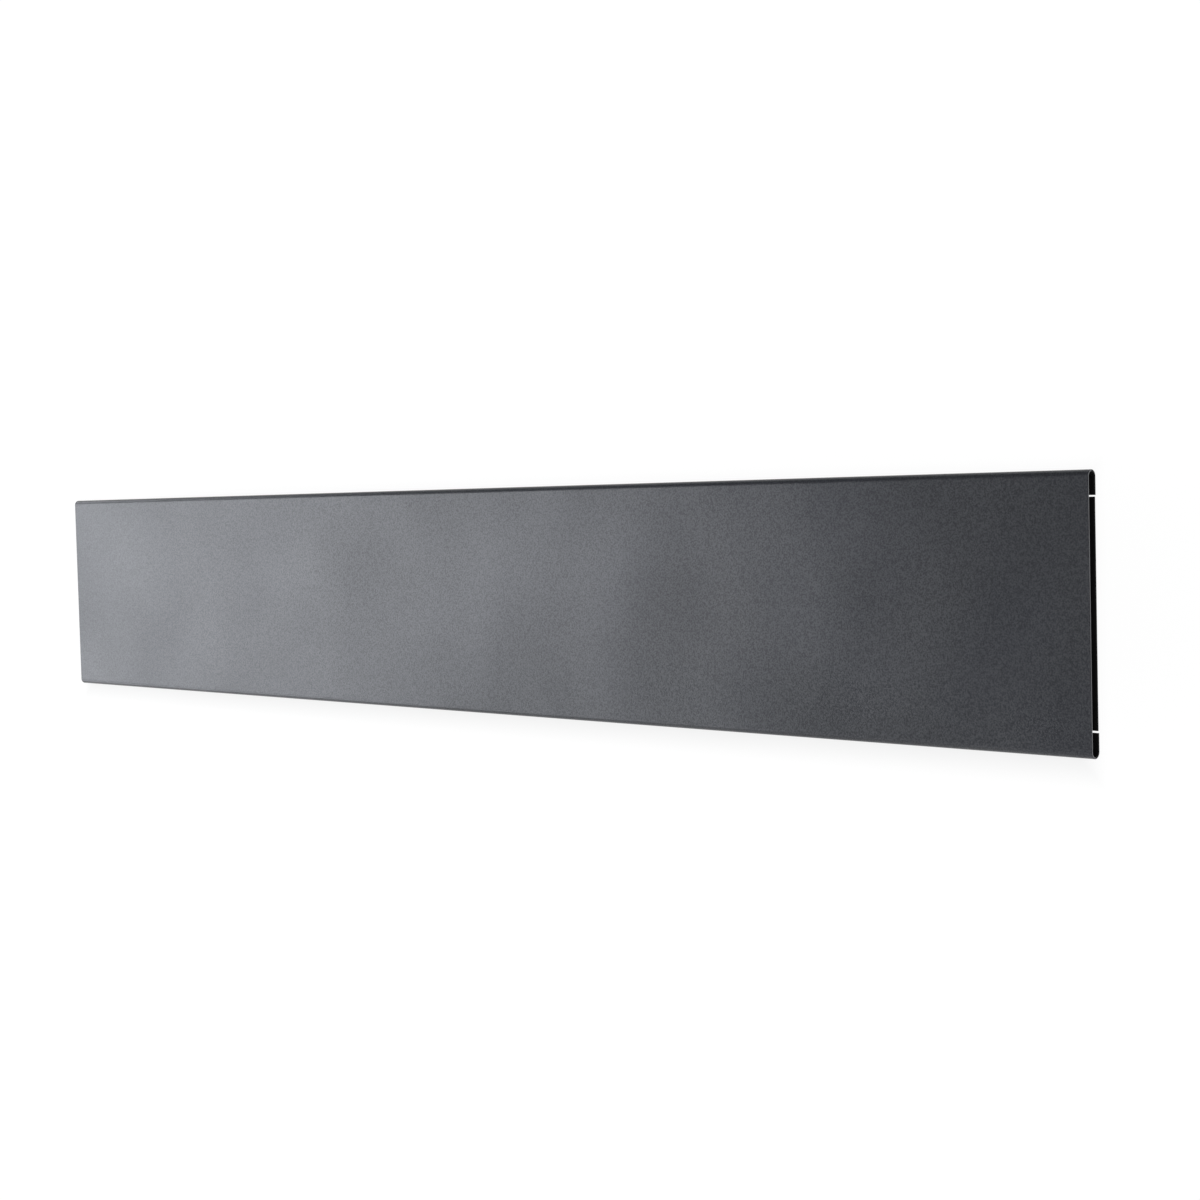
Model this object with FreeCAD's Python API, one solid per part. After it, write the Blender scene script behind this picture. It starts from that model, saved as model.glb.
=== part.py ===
"""Low wall-hung electric convector heater with a floating front panel.

A thin sheet panel with rolled long edges and open ends hangs in front of a slim slotted casing. The casing holds a
finned heating element and, behind a heat barrier at the right, the controls. It hooks onto two wall uprights, and
tilts forward on their pivot pins once it is pulled out of the spring clips at the top.

Millimetres. X runs along the panel, to the right as seen from the room. The wall is the plane Y = 0 and the room is
towards -Y. Z is up. The origin is the middle of the wall screw pattern, on the wall.
"""
import FreeCAD, Part

import math
import os

V = FreeCAD.Vector

# Front panel: one sheet with rolled long edges, return lips behind them and open ends
PANEL_LENGTH = 1400.0
PANEL_HEIGHT = 220.0
PANEL_DEPTH = 10.8
PANEL_SHEET = 1.5
TOP_RETURN = 19.5
BOTTOM_RETURN = 19.5

# Heat shield: the flat plate that closes the back of the panel between the returns
SHIELD_SHEET = 1.2
SHIELD_TOP_SLIT = 1.2
SHIELD_BOTTOM_SLIT = 1.7
SHIELD_SETBACK = 1.0

# Studs welded inside the panel, with shoulders that space the shield
STUD_RADIUS = 2.0
STUD_SHOULDER_RADIUS = 4.0
STUD_COLUMNS = 7
STUD_END_MARGIN = 30.0
STUD_TIP = 1.5
END_STUD_INSET = 30.0
END_STUD_FROM_EDGE = 28.0
PANEL_NUT_FLATS = 7.0
PANEL_NUT_HEIGHT = 3.2

# Casing of two slotted rails and a back sheet
END_INSET = 80.0
CASING_DEPTH = 60.2
CASING_SHEET = 1.0
FRONT_LIP = 12.0
TOP_LIP_MARGIN = 1.8
BOTTOM_LIP_MARGIN = 2.8
REAR_FLANGE = 14.0
SLOT_WIDTH = 6.0
SLOT_PITCH = 12.0
SLOT_MARGIN = 10.0
SLOT_END_MARGIN = 12.0

# Blind rivets that join the casing sheets
RIVET_RADIUS = 1.6
RIVET_HEAD_RADIUS = 3.2
RIVET_HEAD_HEIGHT = 1.3
RIVET_TAIL_RADIUS = 2.4
RIVET_TAIL_HEIGHT = 1.2
RIVET_COLUMNS = 7
RIVET_END_MARGIN = 40.0

# Moulded end caps that plug into the casing
CAP_PLATE = 2.5
CAP_PLUG = 12.0
CAP_RIB = 2.0
CAP_EDGE_ROUND = 1.2
CAP_BOSS = 8.0
CAP_BOSS_DEPTH = 10.0
CAP_SCREW_SPACING = 60.0
CAP_SCREW_RADIUS = 1.45
CAP_SCREW_HEAD_RADIUS = 3.0
CAP_SCREW_HEAD_HEIGHT = 1.8

# Hairpin heating element with fins
TUBE_RADIUS = 4.25
LEG_SPACING = 30.0
ELEMENT_RISE = 54.0
ELEMENT_END_CLEAR = 25.0
TUBE_PROUD = 6.0
FIN_SHEET = 0.6
FIN_DEPTH = 40.0
FIN_HEIGHT = 66.0
FIN_PITCH = 8.0
FIN_END_CLEAR = 4.0
PIN_RADIUS = 1.75
PIN_LENGTH = 14.0
BEAD_RADIUS = 3.9
BEAD_LENGTH = 6.0

# Element supports and heat barrier
SUPPORT_SHEET = 1.2
SUPPORT_FOOT = 15.0
SUPPORT_FOOT_HEIGHT = 50.0
SUPPORT_FROM_BEND = 8.0
SUPPORT_REACH = 14.0
SUPPORT_RIVET_INSET = 8.0
BUSH_RADIUS = 7.0
BUSH_COLLAR_RADIUS = 9.0
BUSH_COLLAR_LENGTH = 2.0
BUSH_PROUD = 1.5

# Control compartment behind the right end cap
CONTROL_LENGTH = 125.0
CUTOUT_RADIUS = 8.0
CUTOUT_HEIGHT = 10.0
CUTOUT_DROP = 22.0
BOARD_SHEET = 1.6
BOARD_HEIGHT = 38.0
BOARD_DROP = 5.0
BOARD_LEFT_MARGIN = 18.0
BOARD_RIGHT_MARGIN = 6.0
BOARD_HOLE_INSET = 4.0
STANDOFF_HEIGHT = 8.0
STANDOFF_RADIUS = 2.5
STANDOFF_TIP_RADIUS = 1.4
STANDOFF_HEAD_RADIUS = 2.2
STANDOFF_HEAD_HEIGHT = 1.2
RELAY_SIZE = (16.0, 15.0, 12.0)
TRANSFORMER_SIZE = (18.0, 14.0, 16.0)
CAPACITOR_RADIUS = 5.0
CAPACITOR_HEIGHT = 13.0
BOARD_PART_GAP = 4.0
TERMINAL_WAYS = 5
TERMINAL_PITCH = 9.0
TERMINAL_DEPTH = 11.0
TERMINAL_HEIGHT = 12.0
TERMINAL_EDGE = 4.0
EARTH_TAB_WIDTH = 6.3
EARTH_TAB_SHEET = 0.8
EARTH_TAB_LENGTH = 8.0
EARTH_TAB_DROP = 6.0
LEAD_RADIUS = 1.3
LEAD_STUB = 7.0
LEAD_STUB_STEP = 5.0

# Thermostat on the right end cap
THERMOSTAT_SIDE = 26.0
THERMOSTAT_DEPTH = 15.0
THERMOSTAT_BUSH_RADIUS = 3.9
THERMOSTAT_BUSH_LENGTH = 6.0
THERMOSTAT_NUT_FLATS = 10.0
THERMOSTAT_NUT_HEIGHT = 2.4
SHAFT_RADIUS = 3.0
SHAFT_SEAT = 9.0
KNOB_RADIUS = 15.0
KNOB_TOP_RADIUS = 13.5
KNOB_HEIGHT = 15.8
KNOB_LIFT = 1.2
KNOB_RECESS_RADIUS = 8.0
KNOB_RECESS_MARGIN = 1.0
KNOB_ROOF = 3.0
KNOB_FLUTES = 24
KNOB_FLUTE_RADIUS = 1.2
KNOB_POINTER_WIDTH = 1.6
KNOB_POINTER_DEPTH = 0.8

# Rocker switch on the right end cap
SWITCH_WIDTH = 13.0
SWITCH_HEIGHT = 19.4
SWITCH_DEPTH = 22.0
SWITCH_BEZEL_RIM = 1.3
SWITCH_BEZEL_HEIGHT = 1.8
SWITCH_WALL = 1.6
SWITCH_TAB_WIDTH = 6.3
SWITCH_TAB_SHEET = 0.8
SWITCH_TAB_LENGTH = 7.0
SWITCH_TAB_SPACING = 9.0
ROCKER_SIDE_CLEAR = 0.3
ROCKER_END_CLEAR = 1.5
ROCKER_PIVOT_DEPTH = 6.2
ROCKER_TAIL = 4.0
ROCKER_PROUD = 1.5
ROCKER_DISH = 1.5
ROCKER_TILT = 8.0
TRUNNION_RADIUS = 1.5
TRUNNION_SEAT = 1.2

# Pilot lens on the right end cap
LENS_RADIUS = 4.0
LENS_LENGTH = 16.0
LENS_COLLAR_RADIUS = 5.5
LENS_COLLAR_HEIGHT = 1.5
LENS_DOME_HEIGHT = 1.8
LENS_DOME_ROUND = 1.2

# Cable gland on the right end cap
GLAND_BORE_RADIUS = 4.0
GLAND_THREAD_RADIUS = 7.9
GLAND_TAIL = 14.0
GLAND_FLATS = 20.0
GLAND_HEX_HEIGHT = 6.0
GLAND_NOSE_RADIUS = 7.5
GLAND_NOSE_LENGTH = 8.0
GLAND_DOME_RADIUS = 10.0
GLAND_DOME_FRONT = 2.3
GLAND_DOME_ROUND = 2.0
GLAND_SEAL_LENGTH = 2.0
GLAND_SEAL_WALL = 2.8
GLAND_LOCKNUT_FLATS = 22.0
GLAND_LOCKNUT_HEIGHT = 4.0

# Wall uprights, crossbar, pivot pins and spring clips
UPRIGHT_SPACING = 700.0
UPRIGHT_SHEET = 2.0
UPRIGHT_TOP = 8.0
CROSSBAR_HEIGHT = 20.0
CROSSBAR_SHEET = 2.0
SCREW_HOLE_RADIUS = 2.75
SCREW_FROM_CLIP = 14.5
PIVOT_RADIUS = 3.0
PIVOT_HEAD_RADIUS = 4.2
PIVOT_HEAD_HEIGHT = 1.5
PIVOT_RISE = 12.0
EAR_WALL = 1.5
EAR_CLEAR = 1.5
CLIP_SHEET = 0.8
CLIP_WIDTH = 16.0
CLIP_HALF_HEIGHT = 7.0
CLIP_GRIP = 7.0
CLIP_FLARE = 2.0
CLIP_DROP = 16.0

# Hangers on the casing back: a hook at the bottom and a catch blade at the top
HANGER_SHEET = 1.5
HANGER_WIDTH = 24.0
HANGER_SIDE_CLEAR = 3.0
HANGER_TOP = 5.0
HANGER_RIVETS = 3
HANGER_RIVET_MARGIN = 22.0
HOOK_WIDTH = 20.0
HOOK_WALL = 1.8
HOOK_SKIRT = 1.5
HOOK_REAR_CLEAR = 1.05
BLADE_SHEET = 1.5
BLADE_WIDTH = 16.0
BLADE_TIP_GAP = 1.5

# Clearances
HOLE_CLEAR = 0.2
CLOSE_FIT = 0.05
RUN_FIT = 0.1
PIVOT_FIT = 0.15
EASE = 0.3

# Depths, worked from the wall forward
hook_inner = PIVOT_RADIUS + PIVOT_FIT
hook_outer = hook_inner + HOOK_WALL
ear_radius = PIVOT_RADIUS + EAR_WALL
pivot_from_casing = ear_radius + EAR_CLEAR
pivot_y = -(UPRIGHT_SHEET + HOOK_REAR_CLEAR + hook_outer)
back_y = pivot_y - pivot_from_casing
back_inner_y = back_y - CASING_SHEET
inner_rear_y = back_inner_y - CASING_SHEET - EASE
shield_rear_y = back_y - CASING_DEPTH
shield_front_y = shield_rear_y - SHIELD_SHEET
lip_rear_y = shield_rear_y + CASING_SHEET
panel_rear_y = shield_rear_y + SHIELD_SETBACK
panel_front_y = panel_rear_y - PANEL_DEPTH
panel_inner_y = panel_front_y + PANEL_SHEET
inner_front_y = shield_rear_y + EASE
mid_y = (shield_rear_y + back_inner_y) / 2

# Heights
panel_top = PANEL_HEIGHT / 2
panel_bottom = -PANEL_HEIGHT / 2
shield_top = panel_top - TOP_RETURN - SHIELD_TOP_SLIT
shield_bottom = panel_bottom + BOTTOM_RETURN + SHIELD_BOTTOM_SLIT
casing_top = shield_top - TOP_LIP_MARGIN - FRONT_LIP
casing_bottom = shield_bottom + BOTTOM_LIP_MARGIN + FRONT_LIP
casing_mid = (casing_top + casing_bottom) / 2
inner_top = casing_top - CASING_SHEET - EASE
inner_bottom = casing_bottom + CASING_SHEET + EASE
element_z = casing_bottom + ELEMENT_RISE
upper_leg_z = element_z + LEG_SPACING / 2
lower_leg_z = element_z - LEG_SPACING / 2
pivot_z = casing_bottom + PIVOT_RISE
clip_z = casing_top - CLIP_DROP
screw_z = clip_z - SCREW_FROM_CLIP

# Places along the length
panel_end = PANEL_LENGTH / 2
casing_end = panel_end - END_INSET
sheet_end = casing_end - CAP_PLATE
barrier_x = sheet_end - CONTROL_LENGTH
barrier_cold_x = barrier_x + SUPPORT_SHEET
tube_end_x = barrier_cold_x + TUBE_PROUD
pin_end_x = tube_end_x + PIN_LENGTH
bend_x = -sheet_end + CAP_PLUG + ELEMENT_END_CLEAR + LEG_SPACING / 2 + TUBE_RADIUS
left_support_x = bend_x + SUPPORT_FROM_BEND
centre_support_x = (left_support_x + barrier_x) / 2


def box(x, y, z):
    """Return the box between three pairs of limits."""
    low = [min(pair) for pair in (x, y, z)]
    size = [max(pair) - min(pair) for pair in (x, y, z)]
    return Part.makeBox(*size, V(*low))


def rod(radius, start, end):
    """Return a round bar from one point to another."""
    run = end.sub(start)
    return Part.makeCylinder(radius, run.Length, start, run)


def x_rod(radius, x, y, z):
    """Return a round bar along X between two X limits."""
    return rod(radius, V(min(x), y, z), V(max(x), y, z))


def y_rod(radius, x, y, z):
    """Return a round bar along Y between two Y limits."""
    return rod(radius, V(x, min(y), z), V(x, max(y), z))


def prism(points, run):
    """Return the solid swept by a closed outline of straight sides."""
    return Part.Face(Part.makePolygon(points + points[:1])).extrude(run)


def x_hexagon(flats, x, y, z):
    """Return a hexagonal bar along X with the given distance across its flats."""
    corner = flats / math.sqrt(3)
    angles = [math.radians(60 * side) for side in range(6)]
    points = [V(min(x), y + corner * math.cos(a), z + corner * math.sin(a)) for a in angles]
    return prism(points, V(max(x) - min(x), 0, 0))


def y_hexagon(flats, x, y, z):
    """Return a hexagonal bar along Y with the given distance across its flats."""
    corner = flats / math.sqrt(3)
    angles = [math.radians(60 * side) for side in range(6)]
    points = [V(x + corner * math.cos(a), min(y), z + corner * math.sin(a)) for a in angles]
    return prism(points, V(0, max(y) - min(y), 0))


def one_solid(shape):
    """Return the only solid of a shape."""
    return shape.Solids[0]


def join(first, *others):
    """Return several touching solids as one, without seams in their flat faces."""
    return one_solid(first.multiFuse(list(others)).removeSplitter())


def drill(shape, tools):
    """Return a solid with every tool cut out of it."""
    return one_solid(shape.cut(tools))


def group(solids):
    """Return separate solids as one node."""
    return Part.makeCompound(solids)


def evenly(count, low, high):
    """Return places spread evenly from low to high, both included."""
    step = (high - low) / (count - 1)
    return [low + step * index for index in range(count)]


def pitched(low, high, pitch):
    """Return as many places as fit between low and high at a pitch, centred."""
    count = int((high - low) / pitch)
    start = (low + high) / 2 - pitch * (count - 1) / 2
    return [start + pitch * index for index in range(count)]


def spread_down(top, bottom, sizes):
    """Return the middles of features stacked from top to bottom with equal gaps."""
    gap = (top - bottom - sum(sizes)) / (len(sizes) + 1)
    middles = []
    edge = top
    for size in sizes:
        middles.append(edge - gap - size / 2)
        edge -= gap + size
    return middles


def bent_wire(points, radius):
    """Return a round wire along straight runs, with an arc as large as fits at each corner."""
    edges = []
    start = points[0]
    for before, corner, after in zip(points, points[1:], points[2:]):
        back = before.sub(corner)
        ahead = after.sub(corner)
        reach = 0.45 * min(back.Length, ahead.Length)
        back.normalize()
        ahead.normalize()
        half_angle = back.getAngle(ahead) / 2
        inside = back.add(ahead)
        if inside.Length < 1e-3:
            continue
        inside.normalize()
        bend = reach * math.tan(half_angle)
        arc_start = corner.add(back.multiply(reach))
        arc_end = corner.add(ahead.multiply(reach))
        to_middle = bend / math.sin(half_angle) - bend
        arc_middle = corner.add(inside.multiply(to_middle))
        edges.append(Part.makeLine(start, arc_start))
        edges.append(Part.Arc(arc_start, arc_middle, arc_end).toShape())
        start = arc_end
    edges.append(Part.makeLine(start, points[-1]))
    path = Part.Wire(edges)
    section = Part.Wire(Part.makeCircle(radius, points[0], points[1].sub(points[0])))
    return one_solid(path.makePipeShell([section], True, False))


# Places of the studs, rivets and controls that several pieces share
stud_columns = evenly(STUD_COLUMNS, -casing_end + STUD_END_MARGIN, casing_end - STUD_END_MARGIN)
stud_rows = [casing_top + FRONT_LIP / 2, casing_bottom - FRONT_LIP / 2]
casing_studs = [(x, z) for z in stud_rows for x in stud_columns]
end_stud_rows = [shield_top - END_STUD_FROM_EDGE, shield_bottom + END_STUD_FROM_EDGE]
end_studs = [(x, z) for z in end_stud_rows for x in (-panel_end + END_STUD_INSET, panel_end - END_STUD_INSET)]
rivet_columns = evenly(RIVET_COLUMNS, -sheet_end + RIVET_END_MARGIN, sheet_end - RIVET_END_MARGIN)
top_rivets = [(x, casing_top - REAR_FLANGE / 2) for x in rivet_columns]
bottom_rivets = [(x, casing_bottom + REAR_FLANGE / 2) for x in rivet_columns]
cap_screw_x = sheet_end - CAP_PLUG / 2
cap_screw_rows = [casing_mid - CAP_SCREW_SPACING / 2, casing_mid + CAP_SCREW_SPACING / 2]
cap_screws = [(x, z) for x in (-cap_screw_x, cap_screw_x) for z in cap_screw_rows]
upright_places = {"left": -UPRIGHT_SPACING / 2, "right": UPRIGHT_SPACING / 2}
hanger_low = pivot_z - HOOK_SKIRT
hanger_high = clip_z + HANGER_TOP
hanger_rivet_rows = evenly(HANGER_RIVETS, hanger_low + HANGER_RIVET_MARGIN, hanger_high - HANGER_RIVET_MARGIN)
hanger_rivets = [(x, z) for x in upright_places.values() for z in hanger_rivet_rows]
foot_low = element_z - SUPPORT_FOOT_HEIGHT / 2
foot_high = element_z + SUPPORT_FOOT_HEIGHT / 2
foot_middles = [left_support_x - SUPPORT_FOOT / 2, centre_support_x - SUPPORT_FOOT / 2,
                barrier_cold_x + SUPPORT_FOOT / 2]
foot_rivet_rows = [foot_low + SUPPORT_RIVET_INSET, foot_high - SUPPORT_RIVET_INSET]
support_rivets = [(x, z) for x in foot_middles for z in foot_rivet_rows]
gland_corner = GLAND_FLATS / math.sqrt(3)
bezel_height = SWITCH_HEIGHT + 2 * SWITCH_BEZEL_RIM
control_sizes = [2 * KNOB_RADIUS, 2 * LENS_COLLAR_RADIUS, bezel_height, 2 * gland_corner]
knob_z, lens_z, switch_z, gland_z = spread_down(casing_top, casing_bottom, control_sizes)


def front_panel():
    """Return the sheet panel: flat front, rolled long edges and return lips."""
    roll = PANEL_DEPTH / 2
    roll_y = panel_front_y + roll
    lip_y = panel_rear_y - PANEL_SHEET
    high = panel_top - roll
    low = panel_bottom + roll

    def at(y, z):
        return V(-panel_end, y, z)

    def line(start, end):
        return Part.makeLine(at(*start), at(*end))

    def arc(start, middle, end):
        return Part.Arc(at(*start), at(*middle), at(*end)).toShape()

    top_lip = panel_top - TOP_RETURN
    bottom_lip = panel_bottom + BOTTOM_RETURN
    edges = [
        line((panel_front_y, low), (panel_front_y, high)),
        arc((panel_front_y, high), (roll_y, panel_top), (panel_rear_y, high)),
        line((panel_rear_y, high), (panel_rear_y, top_lip)),
        line((panel_rear_y, top_lip), (lip_y, top_lip)),
        line((lip_y, top_lip), (lip_y, high)),
        arc((lip_y, high), (roll_y, panel_top - PANEL_SHEET), (panel_inner_y, high)),
        line((panel_inner_y, high), (panel_inner_y, low)),
        arc((panel_inner_y, low), (roll_y, panel_bottom + PANEL_SHEET), (lip_y, low)),
        line((lip_y, low), (lip_y, bottom_lip)),
        line((lip_y, bottom_lip), (panel_rear_y, bottom_lip)),
        line((panel_rear_y, bottom_lip), (panel_rear_y, low)),
        arc((panel_rear_y, low), (roll_y, panel_bottom), (panel_front_y, low)),
    ]
    return Part.Face(Part.Wire(edges)).extrude(V(PANEL_LENGTH, 0, 0))


def stud_holes(places, y):
    """Return the cutters of stud holes through a sheet."""
    return [y_rod(STUD_RADIUS + HOLE_CLEAR, x, y, z) for x, z in places]


def rivet_holes(places, y):
    """Return the cutters of rivet holes through a sheet."""
    return [y_rod(RIVET_RADIUS + RUN_FIT, x, y, z) for x, z in places]


def heat_shield():
    """Return the flat plate behind the front sheet, drilled for every stud."""
    y = (shield_front_y, shield_rear_y)
    plate = box((-panel_end, panel_end), y, (shield_bottom, shield_top))
    return drill(plate, stud_holes(casing_studs + end_studs, y))


def panel_stud(x, z, seat_y):
    """Return one welded stud: a shoulder up to the shield, then a thread past the nut."""
    shoulder = y_rod(STUD_SHOULDER_RADIUS, x, (panel_inner_y, shield_front_y), z)
    thread = y_rod(STUD_RADIUS, x, (shield_front_y, seat_y + PANEL_NUT_HEIGHT + STUD_TIP), z)
    return join(shoulder, thread)


def panel_nut(x, z, seat_y):
    """Return one hexagonal nut that sits on a sheet."""
    y = (seat_y, seat_y + PANEL_NUT_HEIGHT)
    return drill(y_hexagon(PANEL_NUT_FLATS, x, y, z), [y_rod(STUD_RADIUS + CLOSE_FIT, x, y, z)])


def stud_seats():
    """Return every stud's place with the sheet face that its nut sits on."""
    return ([(x, z, lip_rear_y) for x, z in casing_studs]
            + [(x, z, shield_rear_y) for x, z in end_studs])


def air_slot(x, z):
    """Return the cutter of one round-ended slot across a rail's web."""
    half = (mid_y - shield_rear_y) - SLOT_MARGIN - SLOT_WIDTH / 2
    middle = box((x - SLOT_WIDTH / 2, x + SLOT_WIDTH / 2), (mid_y - half, mid_y + half), z)
    ends = [rod(SLOT_WIDTH / 2, V(x, y, min(z)), V(x, y, max(z))) for y in (mid_y - half, mid_y + half)]
    return join(middle, *ends)


def rail(edge_z, outward, rivets):
    """Return a casing rail: a slotted web, a front lip on the shield and a flange on the back sheet."""
    x = (-sheet_end, sheet_end)
    inner_z = edge_z - outward * CASING_SHEET
    web_z = (edge_z, inner_z)
    web = box(x, (shield_rear_y, back_inner_y), web_z)
    slots_from = left_support_x + SLOT_END_MARGIN
    slots_to = barrier_x - SLOT_END_MARGIN
    web = drill(web, [air_slot(slot_x, web_z) for slot_x in pitched(slots_from, slots_to, SLOT_PITCH)])
    lip_y = (shield_rear_y, lip_rear_y)
    lip = box(x, lip_y, (inner_z, edge_z + outward * FRONT_LIP))
    lip = drill(lip, stud_holes([stud for stud in casing_studs if outward * stud[1] > 0], lip_y))
    flange_y = (back_inner_y - CASING_SHEET, back_inner_y)
    flange = box(x, flange_y, (edge_z, edge_z - outward * REAR_FLANGE))
    flange = drill(flange, rivet_holes(rivets, flange_y))
    return join(web, lip, flange)


def casing_back():
    """Return the flat sheet that closes the casing towards the wall."""
    y = (back_inner_y, back_y)
    sheet = box((-sheet_end, sheet_end), y, (casing_bottom, casing_top))
    holes = rivet_holes(top_rivets + bottom_rivets + hanger_rivets + support_rivets, y)
    holes += [y_rod(CAP_SCREW_RADIUS + HOLE_CLEAR, x, y, z) for x, z in cap_screws]
    return drill(sheet, holes)


def rivet(x, z, head_y, tail_y):
    """Return one set rivet between the outer face under its head and the inner face at its tail."""
    head = y_rod(RIVET_HEAD_RADIUS, x, (head_y, head_y + RIVET_HEAD_HEIGHT), z)
    shank = y_rod(RIVET_RADIUS, x, (tail_y, head_y), z)
    tail = y_rod(RIVET_TAIL_RADIUS, x, (tail_y - RIVET_TAIL_HEIGHT, tail_y), z)
    return join(head, shank, tail)


def end_cap(side):
    """Return a moulded end cap, -1 for the left one and 1 for the right one."""
    plate = box((side * sheet_end, side * casing_end), (inner_front_y, back_y), (casing_bottom, casing_top))
    rim = [edge for edge in plate.Edges
           if all(abs(vertex.X - side * casing_end) < CLOSE_FIT for vertex in edge.Vertexes)]
    plate = plate.makeFillet(min(CAP_EDGE_ROUND, CAP_PLATE / 2), rim)
    plug_x = (side * sheet_end, side * (sheet_end - CAP_PLUG))
    plug = box(plug_x, (inner_front_y, inner_rear_y), (inner_bottom, inner_top))
    hollow = box(plug_x, (inner_front_y + CAP_RIB, inner_rear_y - CAP_RIB),
                 (inner_bottom + CAP_RIB, inner_top - CAP_RIB))
    half = CAP_BOSS / 2
    x = side * cap_screw_x
    bosses = [box((side * sheet_end, x - side * half), (inner_rear_y - CAP_BOSS_DEPTH, inner_rear_y),
                  (z - half, z + half)) for z in cap_screw_rows]
    cap = join(plate, drill(plug, [hollow]), *bosses)
    pilots = [y_rod(CAP_SCREW_RADIUS + CLOSE_FIT, x, (inner_rear_y - CAP_BOSS_DEPTH, inner_rear_y), z)
              for z in cap_screw_rows]
    return drill(cap, pilots)


def right_end_cap():
    """Return the right end cap with the openings of its controls and gland."""
    x = (sheet_end, casing_end)
    switch_y = SWITCH_WIDTH / 2 + HOLE_CLEAR
    switch_half = SWITCH_HEIGHT / 2 + HOLE_CLEAR
    return drill(end_cap(1), [
        x_rod(THERMOSTAT_BUSH_RADIUS + HOLE_CLEAR, x, mid_y, knob_z),
        x_rod(LENS_RADIUS + HOLE_CLEAR, x, mid_y, lens_z),
        box(x, (mid_y - switch_y, mid_y + switch_y), (switch_z - switch_half, switch_z + switch_half)),
        x_rod(GLAND_THREAD_RADIUS + HOLE_CLEAR, x, mid_y, gland_z),
    ])


def cap_screw(x, z):
    """Return one self-tapping screw through the casing back into an end cap."""
    head = y_rod(CAP_SCREW_HEAD_RADIUS, x, (back_y, back_y + CAP_SCREW_HEAD_HEIGHT), z)
    shank = y_rod(CAP_SCREW_RADIUS, x, (inner_rear_y - CAP_BOSS_DEPTH + CAP_RIB, back_y), z)
    return join(head, shank)


def element_tube():
    """Return the sheathed heating tube, a hairpin with its bend at the left."""
    middle = V(bend_x, mid_y, element_z)
    section = Part.Face(Part.Wire(Part.makeCircle(TUBE_RADIUS, V(bend_x, mid_y, upper_leg_z), V(1, 0, 0))))
    bend = section.revolve(middle, V(0, 1, 0), -180)
    legs = [x_rod(TUBE_RADIUS, (bend_x, tube_end_x), mid_y, z) for z in (upper_leg_z, lower_leg_z)]
    return join(bend, *legs)


def element_fins():
    """Return the fins pressed on both legs, spread to either side of the centre support."""
    half_span = (barrier_x - left_support_x) / 2 - BUSH_COLLAR_LENGTH - FIN_END_CLEAR
    count = int(half_span / FIN_PITCH)
    y = (mid_y - FIN_DEPTH / 2, mid_y + FIN_DEPTH / 2)
    plate = box((-FIN_SHEET / 2, FIN_SHEET / 2), y, (element_z - FIN_HEIGHT / 2, element_z + FIN_HEIGHT / 2))
    bores = [x_rod(TUBE_RADIUS + CLOSE_FIT, (-FIN_SHEET, FIN_SHEET), mid_y, z)
             for z in (upper_leg_z, lower_leg_z)]
    fin = drill(plate, bores)
    middle = centre_support_x + SUPPORT_SHEET / 2
    offsets = [side * (index + 0.5) * FIN_PITCH for side in (-1, 1) for index in range(count)]
    return group([fin.translated(V(middle + offset, 0, 0)) for offset in offsets])


def support(x, y_front, z, foot_side, rivets):
    """Return an upright plate across the casing, with a foot riveted to the back sheet."""
    thick = (x, x + SUPPORT_SHEET)
    web = box(thick, (y_front, inner_rear_y), z)
    stem = box(thick, (inner_rear_y, back_inner_y), (foot_low, foot_high))
    edge = x if foot_side < 0 else x + SUPPORT_SHEET
    foot_y = (back_inner_y - SUPPORT_SHEET, back_inner_y)
    foot = box((edge, edge + foot_side * SUPPORT_FOOT), foot_y, (foot_low, foot_high))
    holes = [x_rod(BUSH_RADIUS + CLOSE_FIT, thick, mid_y, leg_z) for leg_z in (upper_leg_z, lower_leg_z)]
    return drill(join(web, stem, foot), holes + rivet_holes(rivets, foot_y))


def element_support(x):
    """Return one of the two supports among the fins."""
    z = (element_z - FIN_HEIGHT / 2, element_z + FIN_HEIGHT / 2)
    return support(x, mid_y - SUPPORT_REACH, z, -1, support_rivets)


def heat_barrier():
    """Return the plate between the element and the controls, which also carries the element's cold end."""
    return support(barrier_x, inner_front_y, (inner_bottom, inner_top), 1, support_rivets)


def element_bush(x, z):
    """Return one ceramic bush in a support's hole, its collar on the support's left face."""
    collar = x_rod(BUSH_COLLAR_RADIUS, (x - BUSH_COLLAR_LENGTH, x), mid_y, z)
    body_end = x + SUPPORT_SHEET + BUSH_PROUD
    body = x_rod(BUSH_RADIUS, (x, body_end), mid_y, z)
    bore = x_rod(TUBE_RADIUS + CLOSE_FIT, (x - BUSH_COLLAR_LENGTH, body_end), mid_y, z)
    return drill(join(collar, body), [bore])


def terminal_bead(z):
    """Return the ceramic bead that closes the end of one leg."""
    x = (tube_end_x, tube_end_x + BEAD_LENGTH)
    return drill(x_rod(BEAD_RADIUS, x, mid_y, z), [x_rod(PIN_RADIUS + CLOSE_FIT, x, mid_y, z)])


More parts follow.
